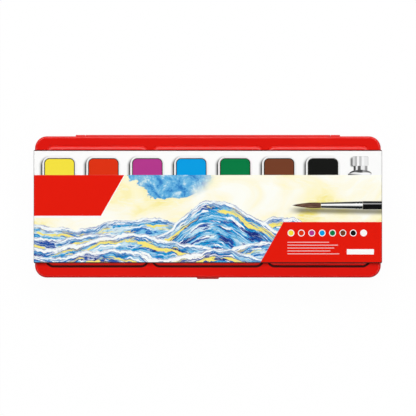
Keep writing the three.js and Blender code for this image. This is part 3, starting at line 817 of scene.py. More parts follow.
tray_low, tray_high = ends_of("tray")
deck_z = tray_high.z
pan_floor = ends_of("pan_yellow")[0].z - POCKET_FIT
tray_outline = outline_of("tray", TRAY_CORNER)
tray = bmesh.new()
deck = pressed(
    tray,
    tray_outline,
    [
        (TRAY_WALL, deck_z - TRAY_WALL),
        (TRAY_WALL, tray_low.z),
        (0, tray_low.z),
        *arc(TRAY_EDGE_RADIUS, deck_z - TRAY_EDGE_RADIUS, TRAY_EDGE_RADIUS, 180, 90),
    ],
)
cap_ends(tray, deck)

pans_hung = bmesh.new()
pans_hollow = bmesh.new()
for colour in GOUACHES:
    hole = outline_of(f"pan_{colour}", PAN_CORNER, POCKET_FIT)
    pocket(pans_hung, pans_hollow, hole, pan_floor, PAN_DRAFT, POCKET_FILLET, POCKET_FLARE)

tube_low, tube_high = ends_of("tube_body")
cap_low, cap_high = ends_of("tube_cap")
bay_front = tube_low.y - POCKET_FIT
bay_back = cap_high.y + POCKET_FIT + BAY_BACK_ROOM
bay = Outline(
    tube_high.x - tube_low.x + 2 * POCKET_FIT,
    bay_back - bay_front,
    BAY_CORNER,
    (tube_low.x + tube_high.x) / 2,
    (bay_front + bay_back) / 2,
)
bay_hung = bmesh.new()
bay_hollow = bmesh.new()
pocket(bay_hung, bay_hollow, bay, pan_floor, 0, POCKET_FILLET, POCKET_FLARE)

tuft_low, tuft_high = ends_of("brush_tuft")
handle_low, handle_high = ends_of("brush_handle")
brush_tip = tuft_low.x
brush_end = handle_high.x
brush_y = (handle_low.y + handle_high.y) / 2
brush_z = (handle_low.z + handle_high.z) / 2
handle_radius = (handle_high.z - handle_low.z) / 2
groove = Outline(
    brush_end - brush_tip + 2 * GROOVE_FIT,
    2 * (handle_radius + GROOVE_FIT),
    GROOVE_CORNER,
    (brush_tip + brush_end) / 2,
    brush_y,
)
groove_hung = bmesh.new()
groove_hollow = bmesh.new()
groove_floor = brush_z - handle_radius - POCKET_FIT
pocket(groove_hung, groove_hollow, groove, groove_floor, 0, GROOVE_FILLET, GROOVE_FLARE)

scoop = Outline(SCOOP_LENGTH, SCOOP_WIDTH, SCOOP_CORNER, 0, brush_y)
scoop_hung = bmesh.new()
scoop_hollow = bmesh.new()
pocket(scoop_hung, scoop_hollow, scoop, deck_z - SCOOP_DEPTH, PAN_DRAFT, SCOOP_FILLET, GROOVE_FLARE)

for hung in (pans_hung, bay_hung, groove_hung, scoop_hung):
    tray = carved(tray, hung, "UNION")
for hollow in (pans_hollow, bay_hollow, groove_hollow, scoop_hollow):
    tray = carved(tray, hollow, "DIFFERENCE")
white_tray = formed_plastic("white_tray", TRAY_WHITE, TRAY_SHADE, TRAY_ROUGHNESS)
formed_tray = set_out("formed_tray", tray, white_tray)
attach(formed_tray, "base")
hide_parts("tray")


# The pans: seven oblong cups of moulded white plastic with a rounded rim and a rounded foot. Each lies
# loose in its own pocket of the tray.
PAN_WALL = 1.2
PAN_RIM_RADIUS = 0.45
PAN_FOOT_RADIUS = 1.1
PAN_INNER_FILLET = 0.9
PAN_WHITE = shade(242, 242, 239)
PAN_SHADE = shade(235, 235, 231)
PAN_ROUGHNESS = 0.14

white_pan = formed_plastic("white_pan", PAN_WHITE, PAN_SHADE, PAN_ROUGHNESS)
for colour in GOUACHES:
    pan_low, pan_high = ends_of(f"pan_{colour}")
    rim_z = pan_high.z - PAN_RIM_RADIUS
    fillet = PAN_INNER_FILLET
    fillet_z = pan_low.z + PAN_WALL + fillet
    cup = bmesh.new()
    cup_rings = pressed(
        cup,
        outline_of(f"pan_{colour}", PAN_CORNER),
        [
            *arc(PAN_DRAFT + PAN_FOOT_RADIUS, pan_low.z + PAN_FOOT_RADIUS, PAN_FOOT_RADIUS, 270, 180),
            *arc(PAN_RIM_RADIUS, rim_z, PAN_RIM_RADIUS, 180, 90),
            *arc(PAN_WALL - PAN_RIM_RADIUS, rim_z, PAN_RIM_RADIUS, 90, 0),
            *arc(PAN_WALL + PAN_DRAFT + fillet, fillet_z, fillet, 180, 270),
        ],
    )
    cap_ends(cup, cup_rings)
    cup_piece = set_out(f"cup_{colour}", cup, white_pan)
    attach(cup_piece, "base")
    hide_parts(f"pan_{colour}")


# The gouache: opaque paint poured into each pan, where it dries to a matt cake with a soft edge, a slightly
# raised middle and a fine grain.
CAKE_FIT = 0.25
CAKE_EDGE = 0.5
CAKE_CROWN = 0.16
CROWN_INSETS = (1.6, 3, 4.8, 6.8, 8.8)
CAKE_FOOT_ROOM = 0.6
DEEP_SHARE = 0.84
CHALK_SHARE = 1.12
CHALK_LIFT = 0.004
PIT_SHADE_SHARE = 0.6


def gouache(name, colour):
    """Dried gouache: matt and granular, deeper where it dried thick, with fine ripples and pits, and painted
    shade in the pits.
    """
    finish, start, place = started(f"gouache_{name}")
    paint = shade(*colour)
    deep = (*[part * DEEP_SHARE for part in paint[:3]], 1)
    chalk = (*[part * CHALK_SHARE + CHALK_LIFT for part in paint[:3]], 1)
    # Painted shade: the pits are coloured darker.
    pit_shade = (*[part * PIT_SHADE_SHARE for part in paint[:3]], 1)
    pools = place.noise(0.09, 2, 0.5)
    grain = place.noise(3.4, 5, 0.75)
    pits = place.noise(1.3, 2, 0.5).rise(0.3, 0.24)
    ripples = place.stretched(1, 0.4, 1).noise(0.7, 2, 0.5)
    body = pools.ramp((0.3, deep), (0.5, paint), (0.75, chalk))
    surfaced(
        start,
        {
            "Base Color": (pits * 0.4).mix(body, pit_shade),
            "Roughness": 0.66 + 0.22 * grain - 0.1 * pools,
            "Specular IOR Level": 0.25,
        },
        grain * 0.03 + pools * 0.1 + ripples * 0.05 - pits * 0.04,
    )
    return finish


for colour in GOUACHES:
    cake_low, cake_high = ends_of(f"paint_{colour}")
    side_inset = PAN_WALL + CAKE_FIT
    edge_inset = side_inset + CAKE_EDGE
    edge_z = cake_high.z - CAKE_EDGE - CAKE_CROWN
    crowned = [
        (side_inset + inset, cake_high.z - CAKE_CROWN * (1 - inset / CROWN_INSETS[-1]) ** 2)
        for inset in CROWN_INSETS
    ]
    cake = bmesh.new()
    cake_rings = pressed(
        cake,
        outline_of(f"pan_{colour}", PAN_CORNER),
        [
            (side_inset + PAN_DRAFT + CAKE_FOOT_ROOM, cake_low.z),
            (side_inset + PAN_DRAFT, cake_low.z + CAKE_FOOT_ROOM),
            *arc(edge_inset, edge_z, CAKE_EDGE, 180, 90),
            *crowned,
        ],
    )
    cap_ends(cake, cake_rings)
    cake_piece = set_out(f"cake_{colour}", cake, gouache(colour, GOUACHES[colour]))
    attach(cake_piece, "base")
    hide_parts(f"paint_{colour}")


# The tube of white: a drawn foil tube, lacquered white, folded shut and crimped at its foot. Its shoulder
# and its threaded neck are bare metal.
TUBE_SIDES = 64
TUBE_FOLD_LENGTH = 4
TUBE_FOLD_THICKNESS = 1.6
TUBE_FOLD_CORNER = 0.35
TUBE_FOIL = 0.3
CRIMP_PITCH = 0.5
CRIMP_DEPTH = 0.14
TUBE_STATIONS = 34
PLEAT_DEPTH = 0.22
PLEAT_COUNT = 7
PLEAT_SWAY = 2.3
DENT_SCALE = 3
SHOULDER_LENGTH = 2.6
SHOULDER_EDGE = 0.45
NECK_RADIUS = 3.4
NECK_BORE = 2
NECK_EDGE = 0.25
THREAD_HEIGHT = 0.35
THREAD_PITCH = 1.5
THREAD_TURNS = 2.5
THREAD_STATIONS = 44
THREAD_HALF_SHARE = 0.3
THREAD_FADE = 0.2
NECK_FILL_DEPTH = 0.8
NECK_FILL = 1
SHOULDER_SHARES = [(0.12, 0.02), (0.5, 0.05), (0.88, 0.03), (1, 0)]
BARE_START = 0.15
BARE_FULL = 0.1
CAP_SEAT_GAP = 0.3
BAND_START = 51.5
BAND_END = 53
BAND_SOFTNESS = 0.1
TUBE_WHITE = shade(238, 239, 239)
BAND_GREY = shade(176, 190, 204)
LACQUER_GRIME = shade(216, 218, 220)
BARE_FOIL = shade(205, 206, 208)
DULL_FOIL = shade(176, 178, 182)
PAINT_WHITE = (250, 250, 246)

tube_x = (tube_low.x + tube_high.x) / 2
tube_y = tube_low.y
tube_z = (cap_low.z + cap_high.z) / 2
tube_radius = tube_z - tube_low.z
neck_foot = cap_low.y - CAP_SEAT_GAP - tube_y
neck_top = tube_high.y - tube_y
shoulder_foot = neck_foot - SHOULDER_LENGTH
full_round = shoulder_foot - TUBE_FOLD_LENGTH
fold_half_width = (tube_high.x - tube_low.x) / 2


def about_tube(turn, along, reach, height=None):
    """A point round the tube's line, at a distance from the tube's foot. One reach makes a round ring."""
    height = reach if height is None else height
    return Vector((tube_x + reach * math.cos(turn), tube_y + along, tube_z - height * math.sin(turn)))


def tube_ring(along, half_width, half_height=None):
    return [about_tube(turn, along, half_width, half_height) for turn in turns_round(TUBE_SIDES)]


def body_ring(along):
    """The body flattens from round towards the fold, and soft pleats draw it in there."""
    share = min(max((along - TUBE_FOLD_LENGTH) / (full_round - TUBE_FOLD_LENGTH), 0), 1)
    swell = math.sin(share * math.pi / 2)
    half_width = fold_half_width + (tube_radius - fold_half_width) * swell
    half_height = TUBE_FOLD_THICKNESS / 2 + (tube_radius - TUBE_FOLD_THICKNESS / 2) * swell
    slack = PLEAT_DEPTH * 4 * share * (1 - share) ** 2 / tube_radius
    ring = tube_ring(along, half_width, half_height)
    sway = along / TUBE_FOLD_LENGTH / 2
    for turn, point in zip(turns_round(TUBE_SIDES), ring):
        pleat = 0.5 + 0.5 * math.sin(PLEAT_COUNT * turn + PLEAT_SWAY * math.sin(sway))
        dent = noise.noise(Vector((DENT_SCALE * math.cos(turn), sway, DENT_SCALE * math.sin(turn))))
        point.z = tube_z + (point.z - tube_z) * (1 - slack * (pleat + 2 * max(dent, 0)))
    return ring


def thread_ring(along):
    """The neck with its thread: a rounded ridge that climbs one pitch in each turn."""
    ridge_start = neck_top - THREAD_PITCH / 2 - THREAD_TURNS * THREAD_PITCH
    climbed = (along - ridge_start) / THREAD_PITCH
    ring = []
    for at, turn in enumerate(turns_round(TUBE_SIDES)):
        aside = (climbed - at / TUBE_SIDES + 0.25) % 1 - 0.5
        run = climbed - aside
        fade = min(max(run / THREAD_FADE, 0), 1) * min(max((THREAD_TURNS - run) / THREAD_FADE, 0), 1)
        radius = NECK_RADIUS + THREAD_HEIGHT * fade * max(0, 1 - abs(aside) / THREAD_HALF_SHARE) ** 0.7
        ring.append(about_tube(turn, along, radius))
    return ring


def tube_foil():
    """White lacquer on the body, with one plain grey band. The shoulder and the neck are bare metal."""
    finish, start, place = started("tube_foil")
    along = place.axis("Y") - tube_y
    bare = along.rise(shoulder_foot - BARE_START, shoulder_foot + BARE_FULL)
    band_foot = along.rise(BAND_START, BAND_START + BAND_SOFTNESS)
    band = band_foot * along.rise(BAND_END, BAND_END - BAND_SOFTNESS)
    dents = place.stretched(1, 0.5, 1).noise(0.16, 4, 0.6, 0.6)
    lathe_marks = along.point(0.0, 0.0).noise(7, 3, 0.6)
    grime_and_shade = place.noise(0.5, 5, 0.7)
    lacquer = band.mix((grime_and_shade * 0.3).mix(TUBE_WHITE, LACQUER_GRIME), BAND_GREY)
    metal = grime_and_shade.mix(BARE_FOIL, DULL_FOIL)
    surfaced(
        start,
        {
            "Base Color": bare.mix(lacquer, metal),
            "Metallic": bare,
            "Roughness": 0.24 + 0.12 * grime_and_shade + bare * (0.04 + 0.12 * lathe_marks),
            "Coat Weight": (1 - bare) * 0.3,
            "Coat Roughness": 0.1,
        },
        dents * 0.16 * (1 - bare) + lathe_marks * 0.01 * bare,
    )
    return finish


tube = bmesh.new()
fold_outline = Outline(2 * fold_half_width, TUBE_FOLD_THICKNESS, TUBE_FOLD_CORNER)
fold_rings = []
for at in range(round(2 * TUBE_FOLD_LENGTH / CRIMP_PITCH) + 1):
    pinched = fold_outline._replace(width=TUBE_FOLD_THICKNESS - 2 * CRIMP_DEPTH * (at % 2 == 0))
    fold_y = tube_y + at * CRIMP_PITCH / 2
    section = rounded_ring(pinched, 0, 0)
    fold_rings.append([Vector((tube_x + point.x, fold_y, tube_z - point.y)) for point in section])
cap_ends(tube, skin(tube, fold_rings))

body_start = TUBE_FOLD_LENGTH - TUBE_FOIL
body_end = shoulder_foot - SHOULDER_EDGE
body_step = (body_end - body_start) / TUBE_STATIONS
tube_rings = [body_ring(body_start + body_step * at) for at in range(TUBE_STATIONS + 1)]
for drawn_in, ahead in arc(SHOULDER_EDGE, 0, SHOULDER_EDGE, 150, 90, ROLL_STEPS):
    tube_rings.append(tube_ring(body_end + ahead, tube_radius - drawn_in))
shoulder_radius = tube_radius - SHOULDER_EDGE
for share, dish in SHOULDER_SHARES:
    radius = shoulder_radius + (NECK_RADIUS - shoulder_radius) * share
    tube_rings.append(tube_ring(shoulder_foot + SHOULDER_LENGTH * (share - dish), radius))
thread_step = (neck_top - NECK_EDGE - neck_foot) / THREAD_STATIONS
tube_rings += [thread_ring(neck_foot + thread_step * at) for at in range(1, THREAD_STATIONS + 1)]
tube_rings += [
    tube_ring(neck_top, NECK_RADIUS - NECK_EDGE),
    tube_ring(neck_top, NECK_BORE + NECK_EDGE),
    tube_ring(neck_top - NECK_EDGE, NECK_BORE),
    tube_ring(neck_top - NECK_FILL_DEPTH, NECK_BORE),
]
tube_ends = skin(tube, tube_rings)
cap(tube, tube_ends[0])
cap(tube, tube_ends[-1], NECK_FILL)
white_gouache = gouache("white", PAINT_WHITE)
foil_tube = set_out("foil_tube", tube, tube_foil(), white_gouache)
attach(foil_tube, "base")
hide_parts("tube_body")
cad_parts["tube_paint"].data.materials.clear()
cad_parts["tube_paint"].data.materials.append(white_gouache)


# The tube's screw cap: moulded white plastic with rounded edges. Sixteen flutes round it give the fingers a
# grip, and its top has a shallow dish.
CAP_SIDES = 128
CAP_FLUTES = 16
CAP_FLUTE_DEPTH = 0.35
CAP_BORE = 4.05
CAP_TOP = 1.2
CAP_EDGE = 0.45
CAP_DISH_INSET = 1.5
CAP_DISH_DEPTH = 0.15
CAP_FLUTE_SHARPNESS = 1.6
CAP_WHITE = shade(238, 238, 235)
CAP_SHADE = shade(229, 229, 225)
CAP_ROUGHNESS = 0.3

cap_radius = (cap_high.x - cap_low.x) / 2
cap_front = cap_low.y - tube_y
cap_end = cap_high.y - tube_y


def cap_ring(along, radius, fluting=0.0):
    """A ring round the cap. The fluting, from 0 to 1, sinks the valleys into it."""
    ring = []
    for turn in turns_round(CAP_SIDES):
        valley = (0.5 - 0.5 * math.cos(CAP_FLUTES * turn)) ** CAP_FLUTE_SHARPNESS
        ring.append(about_tube(turn, along, radius - CAP_FLUTE_DEPTH * fluting * valley))
    return ring


dish_radius = cap_radius - CAP_DISH_INSET
screw_cap = bmesh.new()
cap_rings = [
    cap_ring(cap_end - CAP_TOP, CAP_BORE),
    cap_ring(cap_front + CAP_EDGE / 2, CAP_BORE),
    cap_ring(cap_front, CAP_BORE + CAP_EDGE / 2),
    cap_ring(cap_front, cap_radius - CAP_EDGE, 0.4),
    cap_ring(cap_front + CAP_EDGE * 0.3, cap_radius - CAP_EDGE * 0.3, 0.8),
    cap_ring(cap_front + CAP_EDGE, cap_radius, 1),
    cap_ring(cap_end - 2 * CAP_EDGE, cap_radius, 1),
    cap_ring(cap_end - CAP_EDGE, cap_radius, 0.6),
    cap_ring(cap_end - CAP_EDGE * 0.3, cap_radius - CAP_EDGE * 0.3, 0.2),
    cap_ring(cap_end, cap_radius - CAP_EDGE),
    cap_ring(cap_end, dish_radius + CAP_DISH_DEPTH),
    cap_ring(cap_end - CAP_DISH_DEPTH, dish_radius),
]
cap_ends(screw_cap, skin(screw_cap, cap_rings))
white_cap = formed_plastic("white_cap", CAP_WHITE, CAP_SHADE, CAP_ROUGHNESS)
fluted_cap = set_out("fluted_cap", screw_cap, white_cap)
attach(fluted_cap, "cap")
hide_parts("tube_cap")


# The cap's liner: a disc of pressed white foam in the bottom of the screw cap. It seals the mouth of the
# tube's neck, and rises with the cap.
LINER_EDGE = 0.12
FOAM_WHITE = shade(242, 242, 240)
FOAM_SHADE = shade(212, 212, 210)

liner_low, liner_high = ends_of("tube_cap_liner")
liner_radius = (liner_high.x - liner_low.x) / 2
liner = bmesh.new()
liner_profile = [
    (liner_low.y, liner_radius - LINER_EDGE),
    (liner_low.y + LINER_EDGE, liner_radius),
    (liner_high.y - LINER_EDGE, liner_radius),
    (liner_high.y, liner_radius - LINER_EDGE),
]
turned(liner, liner_profile, Vector((tube_x, 0, tube_z)), "Y", TUBE_SIDES)


def pressed_foam():
    """White foam: matt, with small closed cells."""
    finish, start, place = started("liner_foam")
    cells = place.noise(4, 3, 0.6)
    bruises = place.noise(0.6, 3, 0.6).rise(0.5, 0.7)
    surfaced(
        start,
        {
            "Base Color": (cells * 0.3 + bruises * 0.2).mix(FOAM_WHITE, FOAM_SHADE),
            "Roughness": 0.7 + 0.2 * cells,
        },
        cells * 0.04,
    )
    return finish


foam_liner = set_out("foam_liner", liner, pressed_foam())
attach(foam_liner, "cap_seal")
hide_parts("tube_cap_liner")


# The brush handle: a turned wooden stick, lacquered black, thickest behind the ferrule and tapered to a
# rounded end. Its tenon is glued and crimped in the ferrule.
BRUSH_SIDES = 48
PROFILE_STEPS = 6
FERRULE_WALL = 0.25
BRUSH_FIT = 0.15
HANDLE_TENON = 8
TENON_SHARE = 0.95
LACQUER_BLACK = shade(8, 8, 9)
LACQUER_SCRATCH = shade(34, 34, 36)
HANDLE_SHARES = [
    (0, 0.773),
    (0.1, 0.93),
    (0.2, 1),
    (0.35, 0.95),
    (0.6, 0.75),
    (0.85, 0.56),
    (0.96, 0.5),
    (0.99, 0.34),
    (1, 0.06),
]

ferrule_low, ferrule_high = ends_of("brush_ferrule")
brush_line = Vector((0, brush_y, brush_z))


def eased(points, steps=PROFILE_STEPS):
    """A smooth run of pairs through the given ones."""
    padded = [Vector(point) for point in (points[0], *points, points[-1])]
    run = []
    for before, start, end, after in zip(padded, padded[1:], padded[2:], padded[3:]):
        for step in range(steps):
            t = step / steps
            drift = (end - before) * t
            bend = (2 * before - 5 * start + 4 * end - after) * t**2
            curl = (3 * start - before - 3 * end + after) * t**3
            run.append(start + (drift + bend + curl) / 2)
    return [*run, padded[-1]]


def black_lacquer():
    """Thick black lacquer on wood: a mirror gloss with dust motes and hairline scratches."""
    finish, start, place = started("black_lacquer")
    motes = place.noise(2.4, 3, 0.6).rise(0.68, 0.78)
    hairlines = place.stretched(0.12, 5, 5).noise(0.7, 4, 0.75).rise(0.6, 0.68)
    surfaced(
        start,
        {
            "Base Color": (hairlines * 0.4).mix(LACQUER_BLACK, LACQUER_SCRATCH),
            "Roughness": 0.08 + 0.12 * hairlines + 0.1 * motes,
            "Coat Weight": 0.5,
            "Coat Roughness": 0.04,
        },
        motes * 0.01 - hairlines * 0.003,
    )
    return finish


handle_start = ferrule_high.x + BRUSH_FIT
handle_length = brush_end - handle_start
tenon_radius = (handle_radius * HANDLE_SHARES[0][1] - FERRULE_WALL) * TENON_SHARE
handle_points = [
    (handle_start + handle_length * along, handle_radius * out) for along, out in HANDLE_SHARES
]
handle_profile = [
    (ferrule_high.x - HANDLE_TENON, tenon_radius),
    (handle_start, tenon_radius),
    *eased(handle_points),
]
handle = bmesh.new()
turned(handle, handle_profile, brush_line, "X", BRUSH_SIDES)
turned_handle = set_out("turned_handle", handle, black_lacquer())
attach(turned_handle, "base")
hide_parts("brush_handle")


# The ferrule: a seamless tapered tube of nickelled brass. Its two ends are rolled in, and two crimps hold
# it on the handle.
FERRULE_MOUTH_RADIUS = 1.95
FERRULE_FOOT_RADIUS = 2.55
FERRULE_STATIONS = 120
FERRULE_ROLL = 0.1
CRIMP_CENTRE = 4
CRIMP_SPACING = 2.2
CRIMP_SINK = 0.18
CRIMP_SPREAD = 0.42
NICKEL = shade(214, 214, 216)
FINGERMARK = shade(186, 184, 180)

ferrule_length = ferrule_high.x - ferrule_low.x
ferrule_outside = []
for at in range(FERRULE_STATIONS + 1):
    share = at / FERRULE_STATIONS
    from_foot = ferrule_length * (1 - share)
    sink = 0
    for hand in (-1, 1):
        aside = (from_foot - CRIMP_CENTRE + hand * CRIMP_SPACING / 2) / CRIMP_SPREAD
        sink += CRIMP_SINK * math.exp(-aside * aside)
    from_mouth = ferrule_length - from_foot
    roll = FERRULE_ROLL * max(0, 1 - min(from_mouth, from_foot) / FERRULE_ROLL / 2)
    radius = FERRULE_MOUTH_RADIUS + (FERRULE_FOOT_RADIUS - FERRULE_MOUTH_RADIUS) * share
    ferrule_outside.append((ferrule_low.x + from_mouth, radius - sink - roll))
ferrule_inside = [
    (ferrule_high.x, FERRULE_FOOT_RADIUS - FERRULE_WALL),
    (ferrule_low.x, FERRULE_MOUTH_RADIUS - FERRULE_WALL),
]


def nickelled_brass():
    """Nickel plate: nearly a mirror, with fine polishing lines round it and a few dull fingermarks."""
    finish, start, place = started("nickel")
    lines = place.axis("X").point(0.0, 0.0).noise(9, 3, 0.6)
    marks = place.noise(0.35, 4, 0.65).rise(0.45, 0.7)
    surfaced(
        start,
        {
            "Base Color": (marks * 0.5).mix(NICKEL, FINGERMARK),
            "Metallic": 1.0,
            "Roughness": 0.09 + 0.08 * lines + 0.14 * marks,
        },
        lines * 0.004,
    )
    return finish


ferrule = bmesh.new()
turned(ferrule, [*ferrule_outside, *ferrule_inside], brush_line, "X", BRUSH_SIDES, loop=True)
crimped_ferrule = set_out("crimped_ferrule", ferrule, nickelled_brass())
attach(crimped_ferrule, "base")
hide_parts("brush_ferrule")


# The tuft: soft brown hair, tied in a round bundle, glued in the ferrule and drawn to a point. A core fills
# the bundle, and the hairs that show lie round it.
TUFT_SHARES = [
    (0, 0.01),
    (0.02, 0.05),
    (0.12, 0.2),
    (0.3, 0.52),
    (0.5, 0.83),
    (0.72, 1),
    (0.88, 0.97),
    (1, 0.74),
]
TUFT_ROOT = 6
CORE_SHARE = 0.9
HAIR_COUNT = 420
HAIR_STATIONS = 10
HAIR_SIDES = 3
HAIR_RADIUS = 0.07
HAIR_POINT_SHARE = 0.15
HAIR_TIP_SHARE = 0.2
HAIR_DEPTH_SHARE = 0.14
HAIR_SPREAD = 0.16
HAIR_BROWN = shade(96, 66, 56)
HAIR_DARK = shade(48, 28, 22)
HAIR_LIGHT = shade(150, 112, 88)
TUFT_SEED = 11

tuft_radius = (tuft_high.z - tuft_low.z) / 2
tuft_length = ferrule_low.x - brush_tip
root_radius = tuft_radius * TUFT_SHARES[-1][1]
tuft_profile = eased([(brush_tip + tuft_length * along, tuft_radius * out) for along, out in TUFT_SHARES])


def tuft_reach(along):
    """The radius of the bundle at a place along the brush."""
    for start, end in zip(tuft_profile, tuft_profile[1:]):
        if along <= end.x:
            return start.y + (end.y - start.y) * (along - start.x) / (end.x - start.x)
    return root_radius


def brown_hair():
    """Soft hair: brown with lighter strands, darker at the tip, with a satin shine along it."""
    finish, start, place = started("brown_hair")
    strands = place.stretched(0.08, 5, 5).noise(1, 4, 0.6)
    tip = (place.axis("X") - brush_tip).rise(tuft_length * 0.5, 0)
    body = strands.ramp((0.3, HAIR_DARK), (0.5, HAIR_BROWN), (0.7, HAIR_LIGHT))
    surfaced(
        start,
        {"Base Color": (tip * 0.6).mix(body, HAIR_DARK), "Roughness": 0.38 + 0.3 * strands},
        strands * 0.05,
    )
    return finish


tuft = bmesh.new()
core_profile = [(point.x, point.y * CORE_SHARE) for point in tuft_profile]
core_profile.append((ferrule_low.x + TUFT_ROOT, root_radius * CORE_SHARE))
turned(tuft, core_profile, brush_line, "X", BRUSH_SIDES)
chance = random.Random(TUFT_SEED)
for hair in range(HAIR_COUNT):
    turn = chance.uniform(0, 2 * math.pi)
    twist = chance.gauss(0, HAIR_SPREAD)
    depth_share = 1 - HAIR_DEPTH_SHARE * chance.random() ** 2
    hair_tip = brush_tip + tuft_length * HAIR_TIP_SHARE * chance.random() ** 2
    hair_root = ferrule_low.x + FERRULE_ROLL
    rings = []
    for at in range(HAIR_STATIONS):
        share = at / (HAIR_STATIONS - 1)
        along = hair_tip + (hair_root - hair_tip) * share
        angle = turn + twist * (1 - share)
        thickness = HAIR_RADIUS * (HAIR_POINT_SHARE + (1 - HAIR_POINT_SHARE) * min(1, share * 3))
        reach = max(min(tuft_reach(along) * depth_share, tuft_radius) - thickness, 0)
        centre = brush_line + Vector((along, reach * math.cos(angle), reach * math.sin(angle)))
        rings.append(
            [
                centre + Vector((0, thickness * math.cos(corner), thickness * math.sin(corner)))
                for corner in turns_round(HAIR_SIDES)
            ]
        )
    cap_ends(tuft, skin(tuft, rings))
hair_tuft = set_out("hair_tuft", tuft, brown_hair())
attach(hair_tuft, "base")
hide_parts("brush_tuft")


# The sleeve: one sheet of white card, printed outside, creased and wrapped round the closed tin. It is
# parted here along the tin's parting line, so that each half goes with the half of the tin that it covers.
CARD = 0.5
FOLD_RADIUS = 0.9
FOLD_STEPS = 8
FRONT_OVERHANG = 0.68
BACK_OVERHANG = 0.42
CARD_BEVEL_DEPTH = 0.42
CARD_BEVEL_WIDTH = 0.66
PRINTED, CARD_BACK, CUT_EDGE, UNPRINTED = range(4)
CARD_WHITE = shade(252, 252, 251)
CARD_FIBRE = shade(232, 231, 226)
# The cut edges and their bevels are painted a dark red-brown: painted shade along the sleeve's edges.
CARD_EDGE_SHADE = shade(84, 30, 24)
CARD_EDGE_SHADE_FIBRE = shade(78, 34, 30)
CARD_INSIDE = shade(214, 212, 204)
CARD_INSIDE_FIBRE = shade(176, 170, 158)
# Painted shade for the side folds.
FOLD_SHADE_INK = shade(20, 20, 20)
FINE_EDGE = 0.12
SOFT_EDGE = 0.3

sleeve_low, sleeve_high = ends_of("sleeve_upper")
sleeve_top = sleeve_high.z
sleeve_front = sleeve_low.y - FRONT_OVERHANG
sleeve_back = sleeve_high.y + BACK_OVERHANG
sleeve_side = sleeve_high.x


def inked(distance, softness=FINE_EDGE):
    """1 inside an outline and 0 outside it, from the distance to it, with a soft printed edge."""
    return distance.rise(softness / 2, -softness / 2)


# The picture between the flags is a sea of rolling swells under a pale sky: a cream wash with drifts of
# yellow and one pool of blue, and layered bands of water. Each band has a crest of its own, and strokes
# that lean with it.
POOL_X = -24
POOL_Y = 23
POOL_LENGTH = 32
POOL_WIDTH = 20
POOL_WANDER = 30
CREST_WANDER = 12
CREST_FRAY = 1.6
CREST_LINE = 0.35
FOAM_WIDTH = 2.4
FOAM_LINE = 0.7
FOAM_BRISTLES = 9
FOAM_STROKES = 8
STROKE_LENGTH = 30
STROKE_WIDTH = 6.4
WET_EDGE = 0.006
GLOW_DEPTH = 5.5
GLOW_WANDER = 14
HUMP_X = 8
HUMP_HALF_LENGTH = 46
NAVY = shade(26, 46, 124)
DEEP_BLUE = shade(30, 78, 164)
SEA_BLUE = shade(34, 116, 196)
CYAN = shade(8, 152, 214)
PALE_BLUE = shade(126, 194, 230)
ICE = shade(206, 230, 242)
SPRAY = shade(248, 251, 250)
POOL_BLUE = shade(84, 166, 220)
POOL_DEEP = shade(46, 124, 196)
SKY_WHITE = shade(255, 255, 246)
SKY_STROKE = shade(255, 254, 240)
CREAM = shade(255, 251, 228)
WARM_CREAM = shade(255, 248, 204)
SUN_YELLOW = shade(247, 232, 122)

Swell = namedtuple("Swell", "level height length shift hump lean tones")
FAR_TONES = [(0, SEA_BLUE), (0.44, PALE_BLUE), (0.5, ICE), (0.56, CYAN), (0.61, PALE_BLUE)]
HIGH_TONES = [
    (0, NAVY),
    (0.42, DEEP_BLUE),
    (0.46, CYAN),
    (0.51, PALE_BLUE),
    (0.56, ICE),
    (0.61, DEEP_BLUE),
]
MIDDLE_TONES = [
    (0, NAVY),
    (0.42, SEA_BLUE),
    (0.47, CYAN),
    (0.52, PALE_BLUE),
    (0.57, ICE),
    (0.63, SEA_BLUE),
]
NEAR_TONES = [(0, NAVY), (0.46, DEEP_BLUE), (0.51, CYAN), (0.57, PALE_BLUE), (0.62, ICE)]
SWELLS = [
    Swell(-11, 3.4, 92, 24, 0, 1.5, FAR_TONES),
    Swell(-20, 2.2, 60, -30, 26, -1.2, HIGH_TONES),
    Swell(-23, 4.6, 118, 38, 0, 1.9, MIDDLE_TONES),
    Swell(-31, 2.6, 74, -12, 0, -2.2, NEAR_TONES),
]


def flat_strokes(tones):
    """Stops for strokes of flat colour: each tone holds until the next starts, with a short wet edge."""
    stops = [tones[0]]
    for (_, before), (start, tone) in zip(tones, tones[1:]):
        stops += [(start - WET_EDGE, before), (start + WET_EDGE, tone)]
    return stops


def painted_sky(place, x, y):
    """A cream wash with drifts of yellow, and a pool of blue that dried with a tide mark."""
    drift = place.stretched(1, 1.5, 1).noise(0.022, 5, 0.55, 0.8)
    sky = drift.ramp((0.38, SKY_WHITE), (0.48, CREAM), (0.58, WARM_CREAM), (0.72, SUN_YELLOW))
    strokes = place.stretched(0.5, 1.6, 1).noise(0.09, 4, 0.7, 1.2).rise(0.56, 0.6)
    sky = (strokes * 0.45).mix(sky, SKY_STROKE)
    wander = (place.noise(0.06, 5, 0.62) - 0.5) * POOL_WANDER
    pool_x = (x - POOL_X + wander) / POOL_LENGTH
    pool_y = (y - POOL_Y + wander / 2) / POOL_WIDTH
    away = pool_x * pool_x + pool_y * pool_y
    grains = place.noise(0.13, 8, 0.72, 0.4)
    water = grains.ramp((0.38, ICE), (0.45, PALE_BLUE), (0.53, POOL_BLUE), (0.6, POOL_DEEP))
    crisp = place.noise(0.03, 2, 0.5).rise(0.42, 0.58)
    faded = away.rise(1, 0.25)
    pool = faded + (away.rise(0.74, 0.7) - faded) * crisp
    sky = (pool * grains.rise(0.26, 0.36)).mix(sky, water)
    tide_mark = abs(away - 0.68).rise(0.06, 0.01) * crisp
    return (tide_mark * 0.5).mix(sky, POOL_BLUE)


